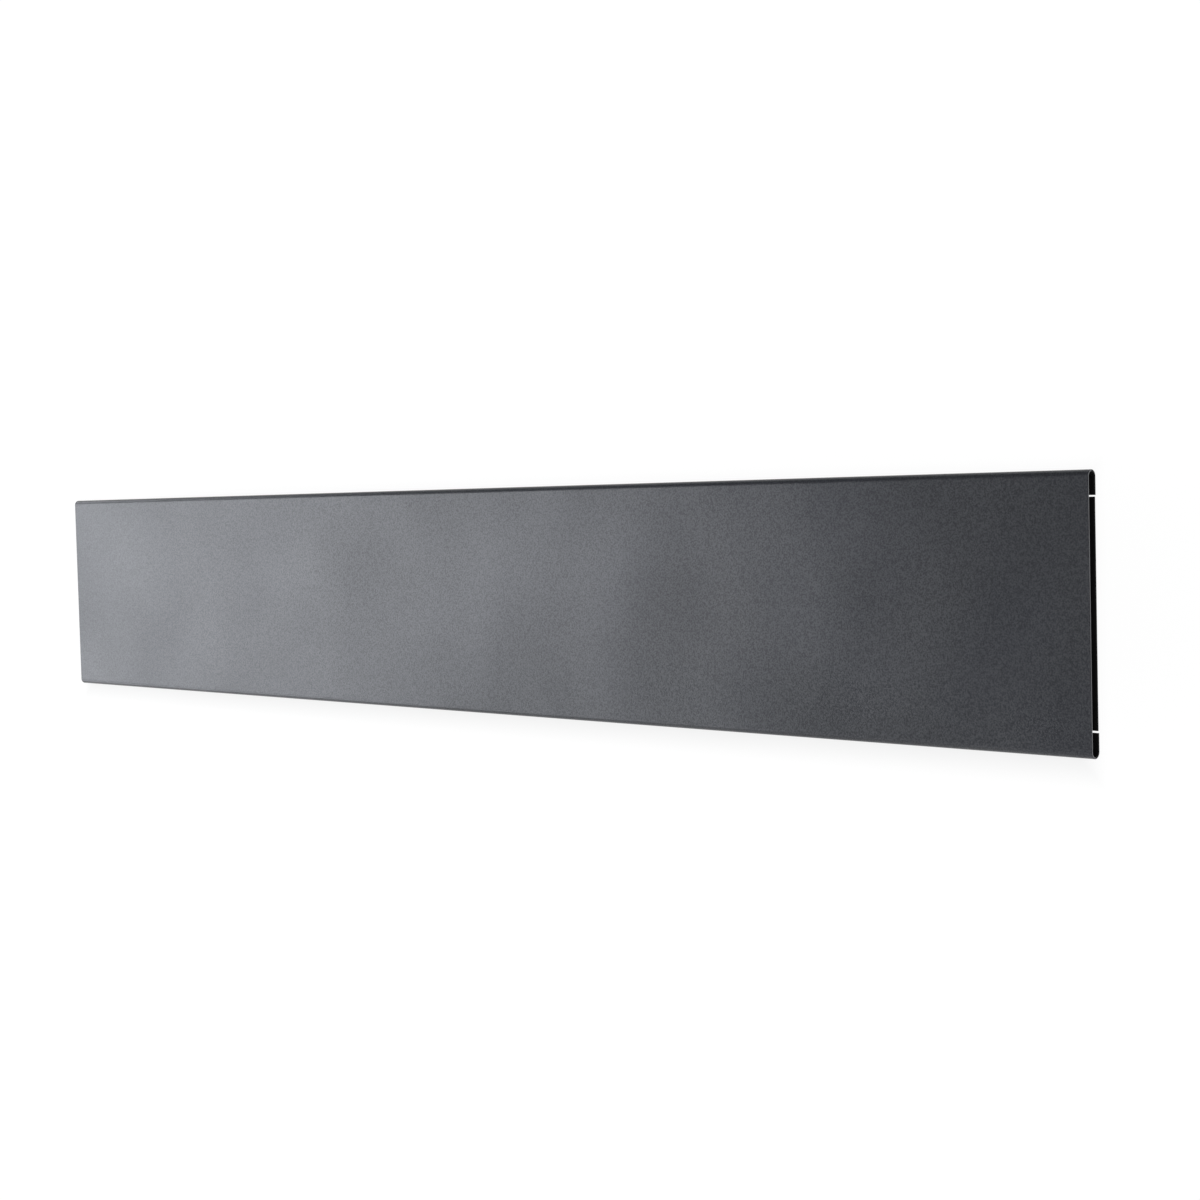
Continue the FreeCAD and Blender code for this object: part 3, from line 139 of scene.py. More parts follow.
@dataclass(frozen=True)
class Finish:
    """One surface finish, with the grain and the broad patches that break up its colour.

    Attributes:
        name: The material and how its surface was made.
        colour: Colour on the grain's high spots.
        shade: Colour in the grain's low spots.
        cloud: Colour of the broad soft patches.
        roughness: Mean roughness.
        grain_mm: Width of one grain.
        relief_mm: Height of the grain.
        cloud_mm: Width of the broad patches.
        cloud_share: How much of the patches' colour shows.
        spread: How far the grain moves the roughness either way.
        metallic: 1 for bare metal and 0 for all else.
        ior: Refractive index, which bare metal leaves at its default.
        edge_mm: Radius that softens edges, or 0 where the mesh has its own.
        lay: How the grain lies.
    """

    name: str
    colour: str
    shade: str
    cloud: str
    roughness: float
    grain_mm: float
    relief_mm: float
    cloud_mm: float = 60.0
    cloud_share: float = 0.5
    spread: float = 0.05
    metallic: float = 0.0
    ior: float = 1.5
    edge_mm: float = 0.3
    lay: Lay = Lay.EVEN

    def material(self) -> bpy.types.Material:
        """Return the finish as a node material, made on first use."""
        return bpy.data.materials.get(self.name) or self.make()

    def make(self) -> bpy.types.Material:
        """Build the node material.

        Returns:
            The new material.
        """
        material = bpy.data.materials.new(self.name)
        material.use_nodes = True
        tree = material.node_tree
        tree.nodes.clear()
        spot = add(tree, "ShaderNodeTexCoord").outputs["Object"]
        grain = self.grain(tree, spot)
        gloss = add(tree, "ShaderNodeMapRange", {
            "Value": grain, "To Min": self.roughness - self.spread,
            "To Max": self.roughness + self.spread})
        shader = add(tree, "ShaderNodeBsdfPrincipled", {
            "Base Color": self.tint(tree, spot, grain), "Metallic": self.metallic,
            "Roughness": gloss, "Normal": self.normal(tree, spot, grain)})
        if not self.metallic:
            shader.inputs["IOR"].default_value = self.ior
        self.finish(tree, shader, spot, grain)
        add(tree, "ShaderNodeOutputMaterial", {"Surface": shader})
        return material

    def grain(self, tree: Tree, spot: Socket) -> Node:
        """Lay the fine grain over the surface.

        Args:
            tree: The material's tree.
            spot: The place on the object.

        Returns:
            A node whose first output runs from 0 in the low spots to 1 on the high ones.
        """
        laid = add(tree, "ShaderNodeMapping", {"Vector": spot, "Scale": self.lay.value})
        noise = add(tree, "ShaderNodeTexNoise", {
            "Vector": laid, "Scale": 1 / (self.grain_mm * MM), "Detail": 2.0, "Roughness": 0.5})
        return add(tree, "ShaderNodeMapRange", {
            "Value": noise, "From Min": GRAIN_SPAN[0], "From Max": GRAIN_SPAN[1]})

    def tint(self, tree: Tree, spot: Socket, grain: Node) -> Socket:
        """Mix the colours over the grain and the broad patches.

        Args:
            tree: The material's tree.
            spot: The place on the object.
            grain: The fine grain.

        Returns:
            The socket of the mixed colour.
        """
        fine = add(tree, "ShaderNodeMix", {
            0: grain, 6: linear(self.shade), 7: linear(self.colour)}, data_type="RGBA")
        broad = add(tree, "ShaderNodeTexNoise", {
            "Vector": spot, "Scale": 1 / (self.cloud_mm * MM), "Detail": 2.0, "Roughness": 0.5})
        share = add(tree, "ShaderNodeMapRange", {
            "Value": broad, "From Min": CLOUD_SPAN[0], "From Max": CLOUD_SPAN[1],
            "To Max": self.cloud_share})
        mixed = add(tree, "ShaderNodeMix", {
            0: share, 6: fine.outputs[2], 7: linear(self.cloud)}, data_type="RGBA")
        return mixed.outputs[2]

    def normal(self, tree: Tree, spot: Socket, grain: Node) -> Node:
        """Raise the grain on a surface with softened edges.

        Args:
            tree: The material's tree.
            spot: The place on the object.
            grain: The fine grain.

        Returns:
            The node that gives the surface's normal.
        """
        raised = {"Height": grain, "Distance": self.relief_mm * MM}
        if self.edge_mm:
            raised["Normal"] = add(
                tree, "ShaderNodeBevel", {"Radius": self.edge_mm * MM}, samples=6)
        return add(tree, "ShaderNodeBump", raised)

    def finish(self, tree: Tree, shader: Node, spot: Socket, grain: Node) -> None:
        """Add what only some finishes have; a plain one has nothing more.

        Args:
            tree: The material's tree.
            shader: The surface's shader.
            spot: The place on the object.
            grain: The fine grain.
        """


@dataclass(frozen=True)
class SheetCoat(Finish):
    """A coat on a large sheet, which keeps the sheet's slight waves and lies a little unevenly.

    Attributes:
        wave_mm: Distance between waves.
        wave_height_mm: Height of the waves.
        grain_dull: Share of the sheen that the grain's low spots lose.
        patch_mm: Width of the duller patches.
        patch_dull: Share of the sheen that those patches lose.
    """

    wave_mm: float = 240.0
    wave_height_mm: float = 0.5
    grain_dull: float = 0.1
    patch_mm: float = 120.0
    patch_dull: float = 0.1

    def normal(self, tree: Tree, spot: Socket, grain: Node) -> Node:
        """Raise the grain over the sheet's waves.

        Args:
            tree: The material's tree.
            spot: The place on the object.
            grain: The fine grain.

        Returns:
            The node that gives the surface's normal.
        """
        waves = add(tree, "ShaderNodeTexNoise", {
            "Vector": spot, "Scale": 1 / (self.wave_mm * MM), "Detail": 1.0, "Roughness": 0.4})
        raised = super().normal(tree, spot, grain)
        swell = add(tree, "ShaderNodeBump", {
            "Height": waves, "Distance": self.wave_height_mm * MM})
        tree.links.new(swell.outputs[0], raised.inputs["Normal"])
        return raised

    def finish(self, tree: Tree, shader: Node, spot: Socket, grain: Node) -> None:
        """Dull the sheen in the grain's low spots and in soft patches.

        Args:
            tree: The material's tree.
            shader: The surface's shader.
            spot: The place on the object.
            grain: The fine grain.
        """
        patches = add(tree, "ShaderNodeTexNoise", {
            "Vector": spot, "Scale": 1 / (self.patch_mm * MM), "Detail": 1.0, "Roughness": 0.5})
        high = add(tree, "ShaderNodeMapRange", {
            "Value": patches, "From Min": PATCH_SPAN[0], "From Max": PATCH_SPAN[1],
            "To Min": PLAIN_SHEEN * (1 - self.patch_dull), "To Max": PLAIN_SHEEN})
        low = add(tree, "ShaderNodeMath", {0: high, 1: 1 - self.grain_dull}, operation="MULTIPLY")
        sheen = add(tree, "ShaderNodeMapRange", {"Value": grain, "To Min": low, "To Max": high})
        tree.links.new(sheen.outputs[0], shader.inputs["Specular IOR Level"])


@dataclass(frozen=True)
class Woven(Finish):
    """A finish whose grain is two sets of crossing threads.

    Attributes:
        turn_deg: Turn of the threads about the Y axis.
    """

    turn_deg: float = 0.0

    def grain(self, tree: Tree, spot: Socket) -> Node:
        """Cross two sets of threads.

        Args:
            tree: The material's tree.
            spot: The place on the object.

        Returns:
            A node whose first output runs from 0 between the threads to 1 on them.
        """
        laid = add(tree, "ShaderNodeMapping", {
            "Vector": spot, "Rotation": (0.0, math.radians(self.turn_deg), 0.0)})
        sets = [add(tree, "ShaderNodeTexWave", {
            "Vector": laid, "Scale": BAND_WIDTH / (self.grain_mm * MM)},
            bands_direction=direction).outputs["Fac"] for direction in ("X", "Z")]
        crossed = add(tree, "ShaderNodeMath", {0: sets[0], 1: sets[1]}, operation="MAXIMUM")
        return add(tree, "ShaderNodeMapRange", {"Value": crossed})


@dataclass(frozen=True)
class ClearTint(Finish):
    """A tinted plastic that lets light through.

    Attributes:
        clearness: Share of the light that passes.
    """

    clearness: float = 0.75

    def finish(self, tree: Tree, shader: Node, spot: Socket, grain: Node) -> None:
        """Let most of the light through.

        Args:
            tree: The material's tree.
            shader: The surface's shader.
            spot: The place on the object.
            grain: The fine grain.
        """
        shader.inputs["Transmission Weight"].default_value = self.clearness


# Polyester powder coat, sprayed and stoved: a fine sandy grain over slightly wavy sheet, satin and
# cool dark grey. The real grain of about 0.3 mm is drawn at 1.37 mm so that it shows.
PANEL_COAT = SheetCoat(
    "Fine-textured polyester powder coat", "#383a3e", "#333438", "#373940", roughness=0.34,
    grain_mm=1.37, relief_mm=0.03, cloud_mm=150.0, cloud_share=0.4, edge_mm=0.0, wave_mm=170.0,
    wave_height_mm=2.0, grain_dull=0.56, patch_mm=130.0, patch_dull=0.25)
# The same coat on the sheared edge, drawn as a lighter, drier line: the lighter grey is a painted
# highlight along the cut edge.
EDGE_HIGHLIGHT_COAT = Finish(
    "Powder coat over a sheared edge with a painted highlight", "#8f9094", "#7c7d81", "#98989b", roughness=0.5,
    grain_mm=0.8, relief_mm=0.02, cloud_mm=20.0, edge_mm=0.0)
# Dead matt black inside the panel and on the shield behind it: a painted shade for the dark hollow
# behind the panel.
PAINTED_SHADE_BLACK = Finish(
    "Matt black painted shade behind the panel", "#111112", "#0a0a0b", "#161617", roughness=0.8,
    grain_mm=1.2, relief_mm=0.02)
# Epoxy powder coat on the casing: darker and flatter than the panel, with a faint orange peel.
CASING_COAT = SheetCoat(
    "Epoxy powder coat on casing sheet", "#242527", "#1e1f21", "#29292b", roughness=0.55,
    grain_mm=2.4, relief_mm=0.04, cloud_mm=110.0, edge_mm=0.35, wave_height_mm=0.3)
# Bright zinc plate on rolled steel: silvery, with fine lines from the rolls and straw and blue
# hints of passivation.
ZINC_PLATE = Finish(
    "Passivated bright zinc plate on rolled steel", "#b3b6bb", "#9ea1a7", "#b9b4a2",
    roughness=0.34, grain_mm=1.0, relief_mm=0.008, cloud_mm=35.0, cloud_share=0.6, spread=0.07,
    metallic=1.0, lay=Lay.ALONG_Z)
# The same plate on a strip that was rolled along its length.
ZINC_STRIP = replace(
    ZINC_PLATE, name="Passivated bright zinc plate on rolled strip", lay=Lay.ALONG_X)
# Zinc-plated turned and headed parts: brighter, with an even grain.
ZINC_FIXING = Finish(
    "Bright zinc plate on headed steel", "#bdc0c5", "#a8abb0", "#bfbaa9", roughness=0.26,
    grain_mm=0.5, relief_mm=0.004, cloud_mm=9.0, cloud_share=0.5, metallic=1.0, edge_mm=0.1)
# Tempered spring steel: blue-black oxide over rolling lines.
SPRING_STEEL = Finish(
    "Blued tempered spring steel", "#5a5d68", "#484b55", "#6b6459", roughness=0.3, grain_mm=0.6,
    relief_mm=0.004, cloud_mm=14.0, metallic=1.0, edge_mm=0.15, lay=Lay.ALONG_X)
# Glass-filled nylon, moulded in a spark-eroded tool: soft black with a fine pebbled skin.
CAP_NYLON = Finish(
    "Moulded glass-filled nylon", "#151516", "#0e0e0f", "#1a1a1b", roughness=0.52, grain_mm=0.9,
    relief_mm=0.03, cloud_mm=40.0, ior=1.53)
# Polycarbonate blend, moulded in a polished tool: satin black with a tight highlight.
CONTROL_PLASTIC = Finish(
    "Moulded satin polycarbonate blend", "#101011", "#0b0b0c", "#141415", roughness=0.36,
    grain_mm=0.7, relief_mm=0.006, cloud_mm=18.0, ior=1.58, edge_mm=0.2)
# Urea moulding: warm ivory, slightly waxy.
IVORY_UREA = Finish(
    "Moulded ivory urea", "#cfcabc", "#c3bdad", "#d6d1c4", roughness=0.4, grain_mm=0.8,
    relief_mm=0.006, cloud_mm=15.0, ior=1.6)
# Stainless sheath after a bake: grey-brown oxide with straw and blue patches.
HEATED_SHEATH = Finish(
    "Heat-tinted stainless tube", "#76706a", "#645f5b", "#5d6270", roughness=0.38, grain_mm=0.8,
    relief_mm=0.006, cloud_mm=30.0, cloud_share=0.7, metallic=1.0, edge_mm=0.0, lay=Lay.ALONG_X)
# Fin stock straight from the mill: pale, with dull rolling lines.
MILL_ALUMINIUM = Finish(
    "Mill-finish aluminium fin stock", "#c9cbce", "#b7b9bd", "#c1c4c8", roughness=0.38,
    grain_mm=0.8, relief_mm=0.005, cloud_mm=25.0, metallic=1.0, edge_mm=0.0, lay=Lay.ALONG_Z)
# Unglazed steatite: chalky cream with fine dark flecks.
STEATITE = Finish(
    "Unglazed steatite ceramic", "#dcd5c6", "#cbc3b2", "#e2dccf", roughness=0.68, grain_mm=0.5,
    relief_mm=0.01, cloud_mm=8.0, ior=1.6, edge_mm=0.2)
# Turned brass under thin plate: pale yellow metal with turning lines.
PLATED_BRASS = Finish(
    "Turned and plated brass", "#c8b27a", "#b39d66", "#cbbd94", roughness=0.28, grain_mm=0.4,
    relief_mm=0.004, cloud_mm=6.0, metallic=1.0, edge_mm=0.12)
# Glass-epoxy board under solder mask: green lacquer with the cloth's weave just telling.
BOARD_LAMINATE = Woven(
    "Glass-epoxy laminate with solder mask", "#18603a", "#124d2d", "#1c6b42", roughness=0.3,
    grain_mm=0.9, relief_mm=0.006, cloud_mm=20.0, ior=1.55, edge_mm=0.1)
# Transfer-moulded epoxy: dull charcoal with a sanded skin.
MOULDED_EPOXY = Finish(
    "Transfer-moulded epoxy", "#1d1d20", "#151517", "#232327", roughness=0.5, grain_mm=0.4,
    relief_mm=0.008, cloud_mm=8.0, ior=1.55)
# Silicone-varnished glass sleeving: a diagonal braid in dull straw.
GLASS_SLEEVE = Woven(
    "Silicone-varnished glass braid", "#aaa494", "#8f897a", "#b3ad9e", roughness=0.6, grain_mm=0.8,
    relief_mm=0.05, cloud_mm=12.0, ior=1.43, edge_mm=0.0, turn_deg=45.0)
# Tinted polycarbonate lens: deep red, clear and glossy.
LENS_RED = ClearTint(
    "Red tinted polycarbonate", "#c4200e", "#b01a0a", "#cc2a14", roughness=0.09, grain_mm=0.8,
    relief_mm=0.002, cloud_mm=4.0, spread=0.03, ior=1.585, edge_mm=0.0)
# Moulded nitrile: dusty black.
NITRILE = Finish(
    "Moulded nitrile rubber", "#121212", "#0c0c0c", "#1b1b1a", roughness=0.72, grain_mm=0.5,
    relief_mm=0.02, cloud_mm=5.0, ior=1.52)
# Two-part pad-printing ink: flat off-white, a little thin in places.
PRINT_INK = Finish(
    "Pad-printed white ink", "#dededa", "#d2d2ce", "#cbcbc8", roughness=0.5, grain_mm=0.4,
    relief_mm=0.003, cloud_mm=3.0, edge_mm=0.0)


def place(name: str, mesh: bpy.types.Mesh, *finishes: Finish) -> bpy.types.Object:
    """Put a mesh into the scene as a piece, with its finishes.

    Args:
        name: The piece's name.
        mesh: Its mesh, already where it belongs.
        *finishes: A finish for each of its material slots.

    Returns:
        The new object.
    """
    piece = bpy.data.objects.new(name, mesh)
    bpy.context.scene.collection.objects.link(piece)
    for finish in finishes:
        mesh.materials.append(finish.material())
    return piece


def settle(piece: bpy.types.Object, body: str, slot: str, *nodes: str) -> None:
    """Let a finished piece ride on its body and stand for its CAD nodes.

    Args:
        piece: The finished piece.
        body: The CAD body that it moves with.
        slot: The record's material slot; not used.
        *nodes: The CAD nodes that it stands for.
    """
    piece.data.set_sharp_from_angle(angle=math.radians(CREASE_DEG))
    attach(piece, body)
    if nodes:
        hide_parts(*nodes)
    LOG.info("%s rides on %s with %d faces", piece.name, body, len(piece.data.polygons))


def dress(finish: Finish, *nodes: str) -> None:
    """Give CAD nodes a finish.

    Args:
        finish: The finish.
        *nodes: The names of the nodes.
    """
    for node in nodes:
        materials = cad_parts[node].data.materials
        materials.clear()
        materials.append(finish.material())
        LOG.info("%s is dressed in %s", node, finish.name)


def merged(node: str) -> bmesh.types.BMesh:
    """Copy a CAD node's mesh and join its loose triangles.

    Args:
        node: The node's name.

    Returns:
        The copy, as an edit mesh.
    """
    mesh = bmesh.new()
    mesh.from_mesh(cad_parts[node].data)
    bmesh.ops.remove_doubles(mesh, verts=mesh.verts, dist=JOIN_GAP)
    return mesh


def solids(node: str) -> list[Corners]:
    """Find the boxes of the separate solids in a CAD node.

    Args:
        node: The node's name.

    Returns:
        The lowest and highest corner of each solid.
    """
    mesh = merged(node)
    boxes = []
    left = set(mesh.verts)
    while left:
        reached = {next(iter(left))}
        edge = set(reached)
        while edge:
            edge = {link.other_vert(vert) for vert in edge for link in vert.link_edges} - reached
            reached |= edge
        left -= reached
        low, high = (Vector([pick(vert.co[axis] for vert in reached) for axis in range(3)])
                     for pick in (min, max))
        boxes.append((low, high))
    mesh.free()
    return sorted(boxes, key=lambda box: tuple(round(value, 5) for value in box[0]))


def seat(box: Corners, y: float) -> Point:
    """Return the point at a given Y on the middle line of a solid's box."""
    low, high = box
    return (low.x + high.x) / 2, y, (low.z + high.z) / 2


def finished(name: str, mesh: bmesh.types.BMesh) -> bpy.types.Mesh:
    """Turn an edit mesh into a smooth mesh.

    Args:
        name: Name of the mesh.
        mesh: The edit mesh, which is freed.

    Returns:
        The new mesh.
    """
    made = bpy.data.meshes.new(name)
    mesh.to_mesh(made)
    mesh.free()
    made.shade_smooth()
    return made


def evaluated(piece: bpy.types.Object) -> bpy.types.Mesh:
    """Return the plain mesh that an object's modifiers or its words come to."""
    graph = bpy.context.evaluated_depsgraph_get()
    return bpy.data.meshes.new_from_object(piece.evaluated_get(graph))


def turned(name: str, rings: list[Ring], y: float, z: float, segments: int, flutes: int = 0,
           closed: bool = False) -> bpy.types.Mesh:
    """Turn a profile about an axis along X.

    Args:
        name: Name of the mesh.
        rings: Place along X, radius and depth of flute of each ring. A radius of 0 closes an end.
        y: Place of the axis.
        z: Place of the axis.
        segments: Number of facets round.
        flutes: Number of flutes round.
        closed: Whether the last ring joins the first.

    Returns:
        The turned mesh, smooth and facing outwards.
    """
    mesh = bmesh.new()
    rows = []
    for x, radius, flute in rings:
        row = []
        for step in range(segments if radius else 1):
            angle = 2 * math.pi * step / segments
            reach = radius - flute * max(0.0, -math.cos(flutes * angle)) ** FLUTE_SHAPE
            spot = (x, y + reach * math.sin(angle), z + reach * math.cos(angle))
            row.append(mesh.verts.new(spot))
        rows.append(row)
    for first, second in zip(rows, rows[1:] + rows[:1] if closed else rows[1:]):
        for step in range(segments):
            after = (step + 1) % segments
            corners = [first[step % len(first)], first[after % len(first)],
                       second[after % len(second)], second[step % len(second)]]
            mesh.faces.new(list(dict.fromkeys(corners)))
    bmesh.ops.recalc_face_normals(mesh, faces=mesh.faces)
    return finished(name, mesh)


class Recipe:
    """A Geometry Nodes tree that sets one shape on every seat, with named inputs for its sizes."""

    def __init__(self, name: str, sizes: dict[str, float]) -> None:
        """Make the tree with its sockets.

        Args:
            name: Name of the tree.
            sizes: Named sizes in metres, with whole numbers for counts and for the seed.
        """
        self.sizes = sizes
        self.tree = bpy.data.node_groups.new(name, "GeometryNodeTree")
        interface = self.tree.interface
        interface.new_socket("Seats", in_out="INPUT", socket_type="NodeSocketGeometry")
        kinds = {label: "NodeSocketInt" if isinstance(value, int) else "NodeSocketFloat"
                 for label, value in sizes.items()}
        kinds["Finish"] = "NodeSocketMaterial"
        self.sockets = {
            label: interface.new_socket(label, in_out="INPUT", socket_type=kind).identifier
            for label, kind in kinds.items()}
        interface.new_socket("Pieces", in_out="OUTPUT", socket_type="NodeSocketGeometry")
        self.inputs = add(self.tree, "NodeGroupInput").outputs

    def polar(self, radius: Socket | Node, angle: Node) -> tuple[Node, Node]:
        """Split a radius at an angle into its two parts.

        Args:
            radius: The radius.
            angle: The angle.

        Returns:
            The nodes of the radius times the angle's sine and times its cosine.
        """
        parts = []
        for kind in ("SINE", "COSINE"):
            share = add(self.tree, "ShaderNodeMath", {0: angle}, operation=kind)
            parts.append(add(self.tree, "ShaderNodeMath", {0: radius, 1: share},
                             operation="MULTIPLY"))
        return parts[0], parts[1]

    def revolved(self, facets: int, rings: int, shape: Profile) -> Node:
        """Roll a grid into a closed surface of revolution about the Y axis.

        Args:
            facets: Facets round the axis.
            rings: Rings along the profile.
            shape: Takes the socket that runs from 0 to 1 along the profile and returns its radius
                and its height.

        Returns:
            The node that gives the surface.
        """
        tree = self.tree
        grid = add(tree, "GeometryNodeMeshGrid", {
            "Size X": 1.0, "Size Y": 1.0, "Vertices X": facets + 1, "Vertices Y": rings})
        at = add(tree, "ShaderNodeSeparateXYZ", {0: add(tree, "GeometryNodeInputPosition")}).outputs
        angle = add(tree, "ShaderNodeMath", {0: at["X"], 1: -2 * math.pi}, operation="MULTIPLY")
        along = add(tree, "ShaderNodeMath", {0: at["Y"], 1: 0.5}, operation="ADD")
        radius, height = shape(along.outputs[0])
        sine, cosine = self.polar(radius, angle)
        rolled = add(tree, "ShaderNodeCombineXYZ", {"X": cosine, "Y": height, "Z": sine})
        moved = add(tree, "GeometryNodeSetPosition", {
            "Geometry": grid.outputs["Mesh"], "Position": rolled})
        return add(tree, "GeometryNodeMergeByDistance", {"Geometry": moved, "Distance": SEAM_GAP})

    def cap(self, radius: Socket, height: Socket, fullness: float) -> Profile:
        """Give the profile of a headed fastener: flat below and domed above.

        Args:
            radius: Socket of the rim's radius.
            height: Socket of the crown's height.
            fullness: 1 for a half ellipse, and less for a flatter crown with a rounder rim.

        Returns:
            The profile for revolved().
        """
        tree = self.tree

        def profile(along: Socket) -> tuple[Node, Node]:
            """Follow the head from the middle of its seat to its crown.

            Args:
                along: Socket that runs from 0 to 1 along the profile.

            Returns:
                The nodes of the radius and of the height.
            """
            angle = add(tree, "ShaderNodeMath", {0: along, 1: math.pi}, operation="MULTIPLY")
            out = add(tree, "ShaderNodeMath", {0: angle}, operation="SINE")
            fall = add(tree, "ShaderNodeMath", {0: angle}, operation="COSINE")
            rise = add(tree, "ShaderNodeMath", {0: 0.0, 1: fall}, operation="SUBTRACT")
            parts = []
            for part, size in ((out, radius), (rise, height)):
                held = add(tree, "ShaderNodeMath", {0: part, 1: 0.0}, operation="MAXIMUM")
                full = add(tree, "ShaderNodeMath", {0: held, 1: fullness}, operation="POWER")
                parts.append(add(tree, "ShaderNodeMath", {0: full, 1: size}, operation="MULTIPLY"))
            return parts[0], parts[1]

        return profile

    def rod(self, radius: Socket, low: Socket | float, high: Socket | float, sides: int) -> Node:
        """Make a bar along Y with so many sides between two heights.

        Args:
            radius: Socket of its radius.
            low: The lower height.
            high: The upper height.
            sides: Number of sides.

        Returns:
            The node that gives the bar.
        """
        tree = self.tree
        length = add(tree, "ShaderNodeMath", {0: high, 1: low}, operation="SUBTRACT")
        both = add(tree, "ShaderNodeMath", {0: high, 1: low}, operation="ADD")
        middle = add(tree, "ShaderNodeMath", {0: both, 1: 0.5}, operation="MULTIPLY")
        bar = add(tree, "GeometryNodeMeshCylinder", {
            "Vertices": sides, "Radius": radius, "Depth": length})
        lift = add(tree, "ShaderNodeCombineXYZ", {"Y": middle})
        return add(tree, "GeometryNodeTransform", {
            "Geometry": bar.outputs["Mesh"], "Translation": lift,
            "Rotation": (-math.pi / 2, 0.0, 0.0)})

    def ring(self, count: Socket, sweep: Socket, radius: Socket) -> tuple[Node, Node]:
        """Spread points on an arc about X that is centred on +Z.

        Args:
            count: Socket of the number of points.
            sweep: Socket of the angle from the first to the last.
            radius: Socket of the arc's radius.

        Returns:
            The node of the points, and the node that turns a shape's +Z outwards on each.
        """
        tree = self.tree
        index = add(tree, "GeometryNodeInputIndex")
        last = add(tree, "ShaderNodeMath", {0: count, 1: 1.0}, operation="SUBTRACT")
        share = add(tree, "ShaderNodeMath", {0: index, 1: last}, operation="DIVIDE")
        centred = add(tree, "ShaderNodeMath", {0: share, 1: 0.5}, operation="SUBTRACT")
        angle = add(tree, "ShaderNodeMath", {0: centred, 1: sweep}, operation="MULTIPLY")
        sine, cosine = self.polar(radius, angle)
        line = add(tree, "GeometryNodeMeshLine", {"Count": count})
        spot = add(tree, "ShaderNodeCombineXYZ", {"Y": sine, "Z": cosine})
        points = add(tree, "GeometryNodeSetPosition", {"Geometry": line, "Position": spot})
        back = add(tree, "ShaderNodeMath", {0: angle, 1: -1.0}, operation="MULTIPLY")
        return points, add(tree, "ShaderNodeCombineXYZ", {"X": back})

    def close(self, shapes: list[Node], turn: Point = (0.0, 0.0, 0.0)) -> None:
        """Set the joined shapes on every seat and end the tree.

        Args:
            shapes: The nodes that give the parts of one shape.
            turn: Most that each seat turns the shape either way about X, Y and Z, by the seed.
        """
        tree = self.tree
        shape = add(tree, "GeometryNodeJoinGeometry", {"Geometry": shapes})
        angle = add(tree, "FunctionNodeRandomValue", {
            0: tuple(-part for part in turn), 1: turn, "Seed": self.inputs["Seed"]},
            data_type="FLOAT_VECTOR")
        placed = add(tree, "GeometryNodeInstanceOnPoints", {
            "Points": self.inputs["Seats"], "Instance": shape, "Rotation": angle})
        real = add(tree, "GeometryNodeRealizeInstances", {"Geometry": placed})
        coated = add(tree, "GeometryNodeSetMaterial", {
            "Geometry": real, "Material": self.inputs["Finish"]})
        add(tree, "NodeGroupOutput", {0: coated})

    def grow(self, name: str, seats: list[Point], finish: Finish) -> bpy.types.Object:
        """Run the tree on a set of seats and keep its result as a plain mesh.

        Args:
            name: Name of the piece.
            seats: Places of the shapes.
            finish: Their finish.

        Returns:
            The piece.
        """
        points = bpy.data.meshes.new(f"{name}_seats")
        points.from_pydata(seats, [], [])
        piece = place(name, points)
        modifier = piece.modifiers.new("pattern", "NODES")
        modifier.node_group = self.tree
        for label, value in self.sizes.items():
            modifier[self.sockets[label]] = value
        modifier[self.sockets["Finish"]] = finish.material()
        made = evaluated(piece)
        piece.modifiers.clear()
        piece.data = made
        made.name = name
        made.shade_smooth()
        bpy.data.meshes.remove(points)
        return piece


class PanelSkin(IntEnum):
    """Material slots of the panel's sheet."""

    COAT = 0
    INSIDE = 1
    CUT = 2


